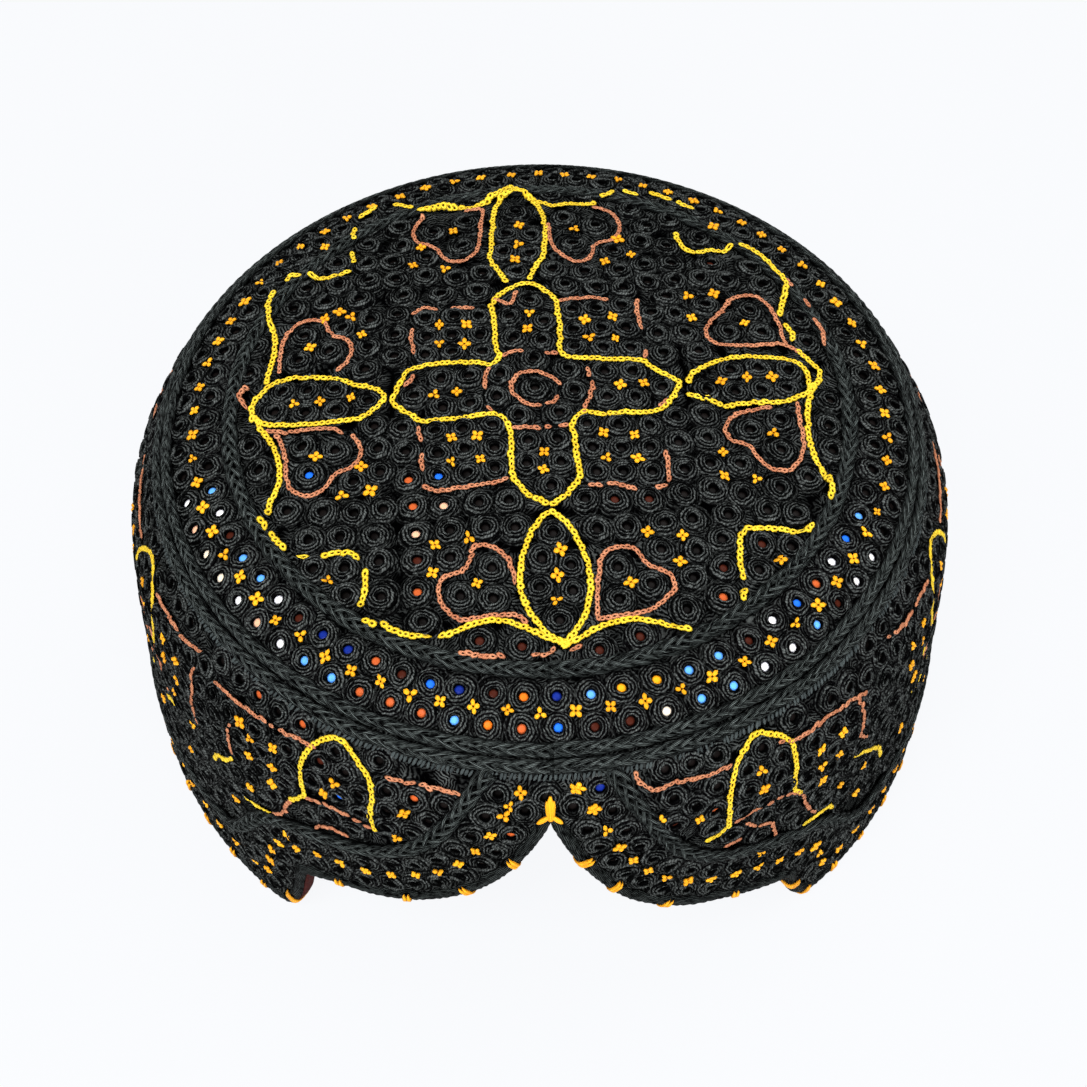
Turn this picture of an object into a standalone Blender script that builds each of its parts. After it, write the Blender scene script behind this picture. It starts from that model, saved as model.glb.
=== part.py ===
"""Sindhi cap: a round quilted cap that stands on its hem, its arched front cut-out towards -Y.

All cloth lies on one curved skin. A place on the skin has two coordinates: across, the distance
round the hem from centre front (+ is the wearer's left, +X), and up, the distance along the cloth
from the hem towards the crown's centre. Lift is the height of a point off the skin, minus inside.
"""
import math

import bmesh
import bpy
import numpy as np

# Driving dimensions, in metres
HEM_RADIUS = 0.0939
CAP_HEIGHT = 0.0911
CROWN_RADIUS = 0.0653
MIRROR_BAND_WIDTH = 0.0166
CLOTH = 0.0025
LINING = 0.0010
GAP = 0.0003

# The front cut-out: cloth left above it, and the widths of its lobes and of the feet's front edges
FRONT_DEPTH = 0.0139
LOBE_ANGLE = math.radians(34.0)
FOOT_ANGLE = math.radians(6.5)

# Braids and binding
INNER_BRAID_WIDTH = 0.0037
OUTER_BRAID_WIDTH = 0.0063
HEM_BRAID_WIDTH = 0.0040
BRAID_THICKNESS = 0.0011
HEM_BAND_WIDTH = 0.0155
HEM_BRAID_EASE = 0.0050
BINDING_WIDTH = 0.0022
BINDING_PROUD = 0.0004

# The binding and the lining start this far apart, and a braid's rim is this thick
LINING_CLEAR = 3 * GAP
BRAID_RIM = 0.7 * BRAID_THICKNESS

# Fineness of the faceted solids
RING_STEPS = 56
CROWN_ROWS = 5
BAND_ROWS = 4
FRONT_STEP = 0.0040
BACK_STEP = 0.0102
LINING_FRONT_STEP = 0.0056
LINING_BACK_STEP = 0.0140

# Fineness of the curves behind them
SPAN_POINTS = 24
HEM_SAMPLE = 0.0002
EASE_SAMPLES = 9
MERGE_REACH = 0.00001
SHARP_ANGLE = math.radians(40)

# Cross section of the cap, crown centre to hem: share of HEM_RADIUS, share of CAP_HEIGHT
PROFILE = [
    (0.000, 1.000),
    (0.030, 1.000),
    (0.430, 0.973),
    (0.690, 0.928),
    (0.780, 0.905),
    (0.834, 0.870),
    (0.874, 0.829),
    (0.900, 0.790),
    (0.921, 0.751),
    (0.938, 0.711),
    (0.960, 0.593),
    (0.974, 0.433),
    (0.987, 0.271),
    (0.997, 0.110),
    (1.000, 0.040),
    (1.000, 0.000),
]

# Lower edge of the two front lobes, from the notch outwards: share of LOBE_ANGLE, then the
# height of the right-hand (-X) and left-hand (+X) lobe as shares of the notch's height
LOBES = [
    (0.000, 1.000, 1.000),
    (0.035, 0.938, 0.934),
    (0.088, 0.851, 0.833),
    (0.182, 0.721, 0.685),
    (0.297, 0.612, 0.549),
    (0.418, 0.537, 0.466),
    (0.524, 0.488, 0.412),
    (0.682, 0.440, 0.363),
    (0.841, 0.409, 0.306),
    (1.000, 0.345, 0.248),
]

# Front edges of the two feet, from the lobes outwards: share of FOOT_ANGLE, then heights as above
FEET = [
    (0.000, 0.345, 0.248),
    (0.077, 0.284, 0.176),
    (0.310, 0.120, 0.075),
    (0.680, 0.018, 0.015),
    (1.000, 0.000, 0.000),
]

# Rows of the wall's faces: share of the way from the hem's edge to the brow line above the notch
WALL_ROWS = [0.0, 0.27, 0.52, 0.73, 0.89, 1.0]

# Section of a braid: share of its half width, share of its thickness
BRAID_SECTION = [(-1.0, 0.0), (-0.6, 1.0), (0.6, 1.0), (1.0, 0.0), (0.0, 0.0)]

BLACK_CLOTH = ((0.012, 0.014, 0.014, 1.0), 0.85)
BLACK_BRAID = ((0.022, 0.027, 0.027, 1.0), 0.60)
MAROON_LINING = ((0.040, 0.016, 0.015, 1.0), 0.80)


def smooth_through(points):
    """A smooth curve through points of any dimension, as a dense polyline."""
    points = np.asarray(points, float)
    spans = np.linalg.norm(np.diff(points, axis=0), axis=1)
    slopes = np.diff(points, axis=0) / spans[:, None]
    tangents = np.empty_like(points)
    tangents[0] = slopes[0]
    tangents[-1] = slopes[-1]
    weight = (spans[:-1] / (spans[:-1] + spans[1:]))[:, None]
    tangents[1:-1] = slopes[:-1] * (1 - weight) + slopes[1:] * weight
    t = np.linspace(0, 1, SPAN_POINTS, endpoint=False)[:, None]
    pieces = []
    for i, span in enumerate(spans):
        pieces.append(
            (2 * t**3 - 3 * t**2 + 1) * points[i]
            + (t**3 - 2 * t**2 + t) * span * tangents[i]
            + (3 * t**2 - 2 * t**3) * points[i + 1]
            + (t**3 - t**2) * span * tangents[i + 1]
        )
    return np.vstack(pieces + [points[-1:]])


def lengths_along(line):
    return np.concatenate([[0.0], np.cumsum(np.linalg.norm(np.diff(line, axis=0), axis=1))])


# The skin, from the hem to the crown's centre, with its outward normals
SKIN = smooth_through([(r * HEM_RADIUS, z * CAP_HEIGHT) for r, z in reversed(PROFILE)])
SKIN_UP = lengths_along(SKIN)
SKIN_TANGENT = np.gradient(SKIN, SKIN_UP, axis=0)
SKIN_TANGENT /= np.linalg.norm(SKIN_TANGENT, axis=1)[:, None]

CENTRE_UP = SKIN_UP[-1]
CROWN_SEAM = float(np.interp(-CROWN_RADIUS, -SKIN[:, 0], SKIN_UP))
SHOULDER_SEAM = CROWN_SEAM - MIRROR_BAND_WIDTH
NOTCH_UP = SHOULDER_SEAM - FRONT_DEPTH
BROW_UP = SHOULDER_SEAM - FRONT_DEPTH / 2
ONCE_ROUND = 2 * math.pi * HEM_RADIUS


def section(up, lift=0.0):
    """Radius and height of a place on the skin."""
    radius = np.interp(up, SKIN_UP, SKIN[:, 0])
    height = np.interp(up, SKIN_UP, SKIN[:, 1])
    across = np.interp(up, SKIN_UP, SKIN_TANGENT[:, 0])
    rise = np.interp(up, SKIN_UP, SKIN_TANGENT[:, 1])
    return radius + rise * lift, height - across * lift


def place(across, up, lift=0.0):
    """World position of a place on the skin."""
    radius, height = section(up, lift)
    turn = across / HEM_RADIUS
    return radius * math.sin(turn), -radius * math.cos(turn), height


def hem_outline():
    """The hem as a polyline of (across, up), a whole turn to each side of centre front."""
    halves = []
    for side, column in ((-1, 1), (1, 2)):
        lobe = [(share[0] * LOBE_ANGLE * HEM_RADIUS, share[column] * NOTCH_UP) for share in LOBES]
        foot = [((LOBE_ANGLE + share[0] * FOOT_ANGLE) * HEM_RADIUS, share[column] * NOTCH_UP)
                for share in FEET]
        half = np.vstack([smooth_through(lobe)[:-1], smooth_through(foot)])
        half[:, 1] = np.maximum(half[:, 1], 0.0)
        halves.append(half * (side, 1))
    line = np.vstack([[(-ONCE_ROUND, 0.0)], halves[0][::-1], halves[1][1:], [(ONCE_ROUND, 0.0)]])
    reach = lengths_along(line)
    fine = np.unique(np.concatenate([reach, np.arange(0.0, reach[-1], HEM_SAMPLE)]))
    return np.stack([np.interp(fine, reach, line[:, k]) for k in (0, 1)], axis=1)


HEM = hem_outline()


def above_hem(across, width):
    """Height of the line that keeps one distance from the hem, also round its corners."""
    across = (np.atleast_1d(across) + ONCE_ROUND / 2) % ONCE_ROUND - ONCE_ROUND / 2
    if width == 0:
        return np.interp(across, HEM[:, 0], HEM[:, 1])
    away = across[:, None] - HEM[None, :, 0]
    rise = np.sqrt(np.maximum(width**2 - away**2, 0.0))
    return np.max(np.where(np.abs(away) <= width, HEM[None, :, 1] + rise, -1.0), axis=1)


def braid_line(across, width):
    """The line above the hem eased round its corners, as a stitched braid runs."""
    eased = [above_hem(across + shift, width)
             for shift in np.linspace(-HEM_BRAID_EASE, HEM_BRAID_EASE, EASE_SAMPLES)]
    return np.maximum(np.mean(eased, axis=0), above_hem(across, width - HEM_BRAID_WIDTH))


def hem_columns(front_step, back_step):
    """Places across the cap where a sheet's columns stand, close together along the cut-out."""
    stops = [0.0, LOBE_ANGLE * HEM_RADIUS, (LOBE_ANGLE + FOOT_ANGLE) * HEM_RADIUS]
    half = [0.0]
    for start, end in zip(stops[:-1], stops[1:]):
        stretch = HEM[(HEM[:, 0] >= start) & (HEM[:, 0] <= end)]
        reach = lengths_along(stretch)
        count = max(2, round(reach[-1] / front_step))
        half += list(np.interp(np.linspace(0, reach[-1], count + 1)[1:], reach, stretch[:, 0]))
    count = round((ONCE_ROUND / 2 - stops[-1]) / back_step)
    half += list(np.linspace(stops[-1], ONCE_ROUND / 2, count + 1)[1:])
    return np.array([-x for x in reversed(half[1:])] + half)


def material(name, look):
    colour, roughness = look
    made = bpy.data.materials.get(name) or bpy.data.materials.new(name)
    made.use_nodes = True
    shader = made.node_tree.nodes["Principled BSDF"]
    shader.inputs["Base Color"].default_value = colour
    shader.inputs["Roughness"].default_value = roughness
    shader.inputs["Metallic"].default_value = 0.0
    return made


def add_piece(name, mesh, look_name, look):
    mesh.materials.append(material(look_name, look))
    piece = bpy.data.objects.new(name, mesh)
    CAP.objects.link(piece)
    mesh.shade_smooth()
    mesh.set_sharp_from_angle(angle=SHARP_ANGLE)
    return piece


def turned(name, outline, closed, look_name, look):
    """A ring or a disc: its outline of (radius, height) turned about the cap's axis."""
    mesh = bpy.data.meshes.new(name)
    count = len(outline)
    edges = [(i, i + 1) for i in range(count - 1)] + ([(count - 1, 0)] if closed else [])
    mesh.from_pydata([(r, 0.0, z) for r, z in outline], edges, [])
    piece = add_piece(name, mesh, look_name, look)
    screw = piece.modifiers.new("turn", "SCREW")
    screw.steps = screw.render_steps = RING_STEPS
    screw.use_merge_vertices = True
    screw.merge_threshold = MERGE_REACH
    return piece


def ring_braid(name, seam, width):
    """A braid round the cap, laid over a seam."""
    outline = [section(seam - share * width / 2, GAP + rise * BRAID_THICKNESS)
               for share, rise in BRAID_SECTION]
    return turned(name, outline, True, "black_braid", BLACK_BRAID)


def cloth_sheet(name, columns, rows, lifts, thickness, look_name, look):
    """A sheet on the skin: a grid bent to its columns and rows and given a thickness."""
    across_count = len(columns) - 1
    row_count = len(rows) - 1
    made = bmesh.new()
    bmesh.ops.create_grid(made, x_segments=across_count, y_segments=row_count, size=0.5)
    for vert in made.verts:
        i = round((vert.co.x + 0.5) * across_count)
        j = round((vert.co.y + 0.5) * row_count)
        vert.co = place(columns[i], rows[j][i], lifts[j])
    bmesh.ops.remove_doubles(made, verts=made.verts, dist=MERGE_REACH)
    mesh = bpy.data.meshes.new(name)
    made.to_mesh(mesh)
    made.free()
    piece = add_piece(name, mesh, look_name, look)
    solid = piece.modifiers.new("thickness", "SOLIDIFY")
    solid.thickness = thickness
    solid.offset = -1
    solid.use_even_offset = True
    return piece


def level(columns, up):
    """A row that keeps one distance from the hem all round."""
    return np.full(len(columns), up)


def wall_rows(columns, clear):
    """Rows of a wall that starts clear of the hem, up to the seam at the shoulder."""
    lower = above_hem(columns, clear)
    rows = [lower + (BROW_UP - lower) * share for share in WALL_ROWS]
    return rows + [level(columns, (BROW_UP + SHOULDER_SEAM) / 2)]


def crown():
    """The domed top, one quilted disc."""
    edge = CROWN_SEAM + GAP / 2
    face = [section(up) for up in np.linspace(CENTRE_UP, edge, CROWN_ROWS)]
    inside = [section(up, -CLOTH) for up in np.linspace(edge, CENTRE_UP, BAND_ROWS)]
    turned("crown", face + inside, False, "black_cloth", BLACK_CLOTH)


def mirror_band():
    """The ring of cloth that carries the mirrors, from the crown's seam over the shoulder."""
    lines = np.linspace(CROWN_SEAM - GAP / 2, SHOULDER_SEAM + GAP / 2, BAND_ROWS)
    face = [section(up) for up in lines]
    inside = [section(up, -CLOTH) for up in reversed(lines)]
    turned("mirror_band", face + inside, True, "black_cloth", BLACK_CLOTH)


def side_wall(columns):
    """The quilted wall, from the shoulder seam to the hem's binding."""
    rows = wall_rows(columns, BINDING_WIDTH + GAP) + [level(columns, SHOULDER_SEAM - GAP / 2)]
    cloth_sheet("side_wall", columns, rows, [0.0] * len(rows), CLOTH, "black_cloth", BLACK_CLOTH)


def hem_binding(columns):
    """The folded strip that closes the hem and goes round the cut-out."""
    rows = [above_hem(columns, 0), above_hem(columns, BINDING_WIDTH)]
    thickness = BINDING_PROUD + CLOTH + GAP + LINING
    cloth_sheet("hem_binding", columns, rows, [BINDING_PROUD] * 2, thickness,
                "black_braid", BLACK_BRAID)


def hem_braid(columns):
    """The braid that follows the hem at a distance and tucks in under the outer braid."""
    ceiling = SHOULDER_SEAM - OUTER_BRAID_WIDTH / 2 - GAP
    narrowest = 2 * GAP
    fine = np.arange(0, LOBE_ANGLE * HEM_RADIUS, HEM_SAMPLE)
    ends = [fine[np.argmax(braid_line(side * fine, HEM_BAND_WIDTH) < ceiling - narrowest)]
            for side in (1, -1)]
    first, last = ends[0], ONCE_ROUND - ends[1]
    between = np.unique(np.round(np.concatenate([columns, columns + ONCE_ROUND]), 6))
    clear = FRONT_STEP / 4
    between = between[(between > first + clear) & (between < last - clear)]
    stops = np.concatenate([[first], between, [last]])
    lower = braid_line(stops, HEM_BAND_WIDTH)
    upper = np.minimum(braid_line(stops, HEM_BAND_WIDTH + HEM_BRAID_WIDTH), ceiling)
    cloth_sheet("hem_braid", stops, [lower, (lower + upper) / 2, upper],
                [GAP + BRAID_RIM, GAP + BRAID_THICKNESS, GAP + BRAID_RIM], BRAID_RIM,
                "black_braid", BLACK_BRAID)


def lining(columns):
    """The thin inner cap."""
    rows = wall_rows(columns, BINDING_WIDTH + LINING_CLEAR)
    shoulder = np.linspace(SHOULDER_SEAM, CROWN_SEAM, BAND_ROWS)[:-1]
    rows += [level(columns, up) for up in shoulder]
    rows += [level(columns, up) for up in np.linspace(CROWN_SEAM, CENTRE_UP, BAND_ROWS)]
    cloth_sheet("lining", columns, rows, [-CLOTH - GAP] * len(rows), LINING,
                "maroon_lining", MAROON_LINING)


def stand_over_origin():
    """Hang all pieces on an empty, so that the origin lies under the middle of the outline."""
    bpy.context.view_layer.update()
    view = bpy.context.evaluated_depsgraph_get()
    reach = [corner[1] for piece in CAP.objects for corner in piece.evaluated_get(view).bound_box]
    middle = bpy.data.objects.new("cap_axis", None)
    middle.location.y = -(min(reach) + max(reach)) / 2
    for piece in list(CAP.objects):
        piece.parent = middle
    CAP.objects.link(middle)


for old in list(bpy.data.objects):
    bpy.data.objects.remove(old, do_unlink=True)
CAP = bpy.data.collections.new("sindhi_cap")
bpy.context.scene.collection.children.link(CAP)

crown()
mirror_band()
ring_braid("inner_braid", CROWN_SEAM, INNER_BRAID_WIDTH)
ring_braid("outer_braid", SHOULDER_SEAM, OUTER_BRAID_WIDTH)
cloth_columns = hem_columns(FRONT_STEP, BACK_STEP)
side_wall(cloth_columns)
hem_binding(cloth_columns)
hem_braid(cloth_columns)
lining(hem_columns(LINING_FRONT_STEP, LINING_BACK_STEP))
stand_over_origin()
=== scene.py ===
"""Looks of the Sindhi cap: quilted cloth, thread eyelets over mirrors, chain stitch, braids and light.

The cap's skin has two coordinates, as in its solids: across, the distance round the hem from centre
front, and up, the distance along the cloth from the hem. Charts of stitches are in millimetres.
"""
import math

import bmesh
import bpy
import numpy as np
from mathutils import Matrix, Vector


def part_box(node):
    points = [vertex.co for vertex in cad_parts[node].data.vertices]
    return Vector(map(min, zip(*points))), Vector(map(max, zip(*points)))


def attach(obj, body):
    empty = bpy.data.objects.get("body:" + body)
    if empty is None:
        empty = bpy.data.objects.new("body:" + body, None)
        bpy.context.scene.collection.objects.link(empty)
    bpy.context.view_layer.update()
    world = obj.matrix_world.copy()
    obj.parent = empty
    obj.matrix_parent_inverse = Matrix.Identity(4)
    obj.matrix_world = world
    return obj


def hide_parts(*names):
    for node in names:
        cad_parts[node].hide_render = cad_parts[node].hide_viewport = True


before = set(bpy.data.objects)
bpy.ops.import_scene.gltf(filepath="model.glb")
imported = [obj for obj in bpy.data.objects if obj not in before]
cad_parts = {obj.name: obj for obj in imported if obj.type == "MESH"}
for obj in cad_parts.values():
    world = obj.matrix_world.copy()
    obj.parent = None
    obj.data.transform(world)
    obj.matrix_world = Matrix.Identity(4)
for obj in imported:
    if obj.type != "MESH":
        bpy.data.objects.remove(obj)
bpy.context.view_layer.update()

# The cap's own sizes, in metres
HEM_RADIUS = 0.0939
CAP_HEIGHT = 0.0911
CROWN_RADIUS = 0.0653
MIRROR_BAND_WIDTH = 0.0166
CLOTH = 0.0025
LINING = 0.0010
GAP = 0.0003
FRONT_DEPTH = 0.0139
LOBE_ANGLE = math.radians(34.0)
FOOT_ANGLE = math.radians(6.5)
INNER_BRAID_WIDTH = 0.0037
OUTER_BRAID_WIDTH = 0.0063
HEM_BRAID_WIDTH = 0.0040
HEM_BAND_WIDTH = 0.0155
HEM_BRAID_EASE = 0.0050
BINDING_WIDTH = 0.0022
BINDING_PROUD = 0.0004
CROWN_TURN = math.radians(3.36)

PROFILE = [
    (0.000, 1.000), (0.030, 1.000), (0.430, 0.973), (0.690, 0.928), (0.780, 0.905),
    (0.834, 0.870), (0.874, 0.829), (0.900, 0.790), (0.921, 0.751), (0.938, 0.711),
    (0.960, 0.593), (0.974, 0.433), (0.987, 0.271), (0.997, 0.110), (1.000, 0.040),
    (1.000, 0.000),
]
LOBES = [
    (0.000, 1.000, 1.000), (0.035, 0.938, 0.934), (0.088, 0.851, 0.833), (0.182, 0.721, 0.685),
    (0.297, 0.612, 0.549), (0.418, 0.537, 0.466), (0.524, 0.488, 0.412), (0.682, 0.440, 0.363),
    (0.841, 0.409, 0.306), (1.000, 0.345, 0.248),
]
FEET = [
    (0.000, 0.345, 0.248), (0.077, 0.284, 0.176), (0.310, 0.120, 0.075), (0.680, 0.018, 0.015),
    (1.000, 0.000, 0.000),
]

SPAN_POINTS = 24
HEM_SAMPLE = 0.0002
MM = 0.001
dice = np.random.RandomState(31)


# The skin and the hem

def smooth_through(points):
    """A smooth curve through points of any dimension, as a dense polyline."""
    points = np.asarray(points, float)
    spans = np.linalg.norm(np.diff(points, axis=0), axis=1)
    slopes = np.diff(points, axis=0) / spans[:, None]
    tangents = np.empty_like(points)
    tangents[0], tangents[-1] = slopes[0], slopes[-1]
    weight = (spans[:-1] / (spans[:-1] + spans[1:]))[:, None]
    tangents[1:-1] = slopes[:-1] * (1 - weight) + slopes[1:] * weight
    t = np.linspace(0, 1, SPAN_POINTS, endpoint=False)[:, None]
    pieces = []
    for i, span in enumerate(spans):
        pieces.append((2 * t**3 - 3 * t**2 + 1) * points[i] + (t**3 - 2 * t**2 + t) * span * tangents[i]
                      + (3 * t**2 - 2 * t**3) * points[i + 1] + (t**3 - t**2) * span * tangents[i + 1])
    return np.vstack(pieces + [points[-1:]])


def lengths_along(line):
    return np.concatenate([[0.0], np.cumsum(np.linalg.norm(np.diff(line, axis=0), axis=1))])


def at_reach(line, reach, stops):
    """Points of a flat line at distances along it."""
    return np.stack([np.interp(stops, reach, line[:, k]) for k in (0, 1)], axis=1)


def way_at(line, reach, stops, step):
    return at_reach(line, reach, stops + step) - at_reach(line, reach, stops - step)


SKIN = smooth_through([(r * HEM_RADIUS, z * CAP_HEIGHT) for r, z in reversed(PROFILE)])
SKIN_UP = lengths_along(SKIN)
SKIN_TANGENT = np.gradient(SKIN, SKIN_UP, axis=0)
SKIN_TANGENT /= np.linalg.norm(SKIN_TANGENT, axis=1)[:, None]
CENTRE_UP = SKIN_UP[-1]
CROWN_SEAM = float(np.interp(-CROWN_RADIUS, -SKIN[:, 0], SKIN_UP))
SHOULDER_SEAM = CROWN_SEAM - MIRROR_BAND_WIDTH
NOTCH_UP = SHOULDER_SEAM - FRONT_DEPTH
ONCE_ROUND = 2 * math.pi * HEM_RADIUS
HALF = ONCE_ROUND / 2
low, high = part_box("crown")
AXIS_Y = (low.y + high.y) / 2


def up_at_radius(radius):
    return np.interp(-np.asarray(radius), -SKIN[:, 0], SKIN_UP)


def up_at_height(height):
    return np.interp(height, SKIN[:, 1], SKIN_UP)


def section(up, lift=0.0):
    """Radius and height of a place on the skin."""
    radius = np.interp(up, SKIN_UP, SKIN[:, 0])
    height = np.interp(up, SKIN_UP, SKIN[:, 1])
    run = np.interp(up, SKIN_UP, SKIN_TANGENT[:, 0])
    rise = np.interp(up, SKIN_UP, SKIN_TANGENT[:, 1])
    return radius + rise * lift, height - run * lift


def place(turn, up, lift=0.0):
    """Points on the skin, from arrays of the angle round the axis, up and lift, in metres."""
    radius, height = section(up, lift)
    return np.stack([radius * np.sin(turn), AXIS_Y - radius * np.cos(turn), height], axis=-1)


def hem_outline():
    halves = []
    for side, column in ((-1, 1), (1, 2)):
        lobe = [(share[0] * LOBE_ANGLE * HEM_RADIUS, share[column] * NOTCH_UP) for share in LOBES]
        foot = [((LOBE_ANGLE + share[0] * FOOT_ANGLE) * HEM_RADIUS, share[column] * NOTCH_UP)
                for share in FEET]
        half = np.vstack([smooth_through(lobe)[:-1], smooth_through(foot)])
        half[:, 1] = np.maximum(half[:, 1], 0.0)
        halves.append(half * (side, 1))
    line = np.vstack([[(-ONCE_ROUND, 0.0)], halves[0][::-1], halves[1][1:], [(ONCE_ROUND, 0.0)]])
    reach = lengths_along(line)
    fine = np.unique(np.concatenate([reach, np.arange(0.0, reach[-1], HEM_SAMPLE)]))
    return at_reach(line, reach, fine)


HEM = hem_outline()


def above_hem(across, width):
    """Height of the line that keeps one distance from the hem, also round its corners."""
    across = (np.atleast_1d(across) + HALF) % ONCE_ROUND - HALF
    if width == 0:
        return np.interp(across, HEM[:, 0], HEM[:, 1])
    away = across[:, None] - HEM[None, :, 0]
    rise = np.sqrt(np.maximum(width**2 - away**2, 0.0))
    return np.max(np.where(np.abs(away) <= width, HEM[None, :, 1] + rise, -1.0), axis=1)


def braid_line(across, width):
    """The line above the hem eased round its corners, as a stitched braid runs."""
    eased = [above_hem(across + shift, width)
             for shift in np.linspace(-HEM_BRAID_EASE, HEM_BRAID_EASE, 9)]
    return np.maximum(np.mean(eased, axis=0), above_hem(across, width - HEM_BRAID_WIDTH))


BRAID_ACROSS = np.arange(-HALF, HALF, 0.0008)
BRAID_UP = braid_line(BRAID_ACROSS, HEM_BAND_WIDTH + HEM_BRAID_WIDTH)


def above_braid(across):
    """Upper edge of the hem's braid, in millimetres, at places across in millimetres."""
    return np.interp(across * MM, BRAID_ACROSS, BRAID_UP) / MM


# Finishes

class Wire:
    """A node's output that takes part in sums."""

    def __init__(self, finish, socket):
        self.finish = finish
        self.socket = socket

    def __add__(self, other):
        return self.finish.maths("ADD", self, other)

    def __sub__(self, other):
        return self.finish.maths("SUBTRACT", self, other)

    def __rsub__(self, other):
        return self.finish.maths("SUBTRACT", other, self)

    def __mul__(self, other):
        return self.finish.maths("MULTIPLY", self, other)

    def __truediv__(self, other):
        return self.finish.maths("DIVIDE", self, other)

    def __pow__(self, other):
        return self.finish.maths("POWER", self, other)

    __radd__ = __add__
    __rmul__ = __mul__


class Finish:
    """A material with its shader and the nodes behind it."""

    def __init__(self, name, **values):
        self.material = bpy.data.materials.new(name)
        self.material.use_nodes = True
        self.tree = self.material.node_tree
        self.shader = self.tree.nodes["Principled BSDF"]
        for key, value in values.items():
            self.shader.inputs[key.replace("_", " ")].default_value = value

    def node(self, kind, inputs, settings=None, out=0):
        made = self.tree.nodes.new("ShaderNode" + kind)
        for key, value in (settings or {}).items():
            setattr(made, key, value)
        for key, value in inputs.items():
            if isinstance(value, Wire):
                self.tree.links.new(value.socket, made.inputs[key])
            else:
                made.inputs[key].default_value = value
        return Wire(self, made.outputs[out])

    def maths(self, operation, *values):
        return self.node("Math", dict(enumerate(values)), {"operation": operation})

    def clamp(self, value):
        return self.node("Clamp", {"Value": value})

    def sine(self, value):
        return self.maths("SINE", value)

    def ridge(self, value):
        """Round ridges one unit apart, 0 in the grooves and 1 on top."""
        return self.maths("ABSOLUTE", self.sine(value * math.pi))

    def blend(self, share, first, second):
        return self.node("Mix", {0: share, 6: first, 7: second},
                         {"data_type": "RGBA", "clamp_factor": True}, 2)

    def vector(self, operation, *values, out=0):
        return self.node("VectorMath", dict(enumerate(values)), {"operation": operation}, out)

    def noise(self, where, scale, detail=2.0):
        return self.node("TexNoise", {"Vector": where, "Scale": scale, "Detail": detail})

    def own(self, name, out=1):
        """One of the piece's attributes: out 0 gives a colour, 1 a vector and 2 a number."""
        return self.node("Attribute", {}, {"attribute_name": name}, out)

    def object_point(self):
        return self.node("TexCoord", {}, None, 3)

    def parts(self, vector):
        made = self.tree.nodes.new("ShaderNodeSeparateXYZ")
        self.tree.links.new(vector.socket, made.inputs[0])
        return [Wire(self, out) for out in made.outputs]

    def feed(self, name, value):
        self.tree.links.new(value.socket, self.shader.inputs[name])

    def relief(self, height, distance):
        self.feed("Normal", self.node("Bump", {"Height": height, "Distance": distance}))


# Black thread: its own near-black colour, darkened further as painted shade in the grooves, and a painted
# highlight for the ridges of the stitches and of the braids' cords
BLACK_GROOVE_SHADE = (0.0003, 0.0003, 0.0004, 1)
BLACK_RIDGE_HIGHLIGHT = (0.138, 0.151, 0.146, 1)
CORD_RIDGE_HIGHLIGHT = (0.15, 0.175, 0.168, 1)


def stitched_ground(name, pitch=0.60):
    made = Finish(name, Roughness=0.6, Specular_IOR_Level=0.0)
    point = made.object_point()
    cells = made.node("TexVoronoi", {"Vector": point, "Scale": 330.0, "Randomness": 1.0},
                      {"feature": "F1"}, 1)
    heading = made.vector("NORMALIZE", made.vector("SUBTRACT", cells, (0.5, 0.5, 0.5)))
    run = made.vector("DOT_PRODUCT", point, heading, out=1) * (1000.0 / pitch)
    waver = made.noise(point, 700.0)
    strands = made.ridge(run + waver * 2.2)
    patches = made.noise(point, 260.0)
    height = made.parts(made.own("local"))[2]
    # tone: random patches, times painted shade in the sewn channels and other low places of the quilting
    tone = made.clamp((patches - 0.36) * 2.4) * made.clamp((height + 0.32) * 3.0)
    # painted highlight on the strands' ridges, painted shade between them
    made.feed("Base Color", made.blend(strands ** 4.0 * tone * 0.7, BLACK_GROOVE_SHADE, BLACK_RIDGE_HIGHLIGHT))
    made.relief(strands * 0.7 + waver * 0.6, 0.00035)
    return made.material


def eyelet_thread():
    """Black thread worked round and round a mirror, with painted highlights on its ridges and painted shade in
    its grooves and at the hole's edge.
    """
    made = Finish("eyelet_thread", Roughness=0.5, Specular_IOR_Level=0.012)
    local = made.own("local")
    tone = made.own("tone", 2)
    x, y, z = made.parts(local)
    radius = made.maths("SQRT", x * x + y * y)
    turn = made.maths("ARCTAN2", y, x)
    waver = made.noise(local, 0.55)
    strands = made.ridge(radius / 0.72 + waver * 2.0 + turn * 0.16 + tone * 3.0)
    stitches = made.ridge(turn * 3.5 + radius * 1.3 + tone * 9.0)
    speckle = made.noise(local, 1.7)
    bright = made.clamp((speckle - 0.30) * 2.4)
    # painted highlight on the ridges of the turns and stitches, in random patches
    level = strands ** 4.2 * (0.25 + 0.75 * stitches) * bright
    # rim: painted shade at the hole's edge and in the low places between the ridges
    rim = made.clamp((radius - 0.95) * 3.0) * made.clamp((z - 0.02) * 1.5 + 0.05)
    made.feed("Base Color", made.blend(level * rim, BLACK_GROOVE_SHADE, BLACK_RIDGE_HIGHLIGHT))
    made.relief(strands + stitches * 0.35, 0.00022)
    return made.material


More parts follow.
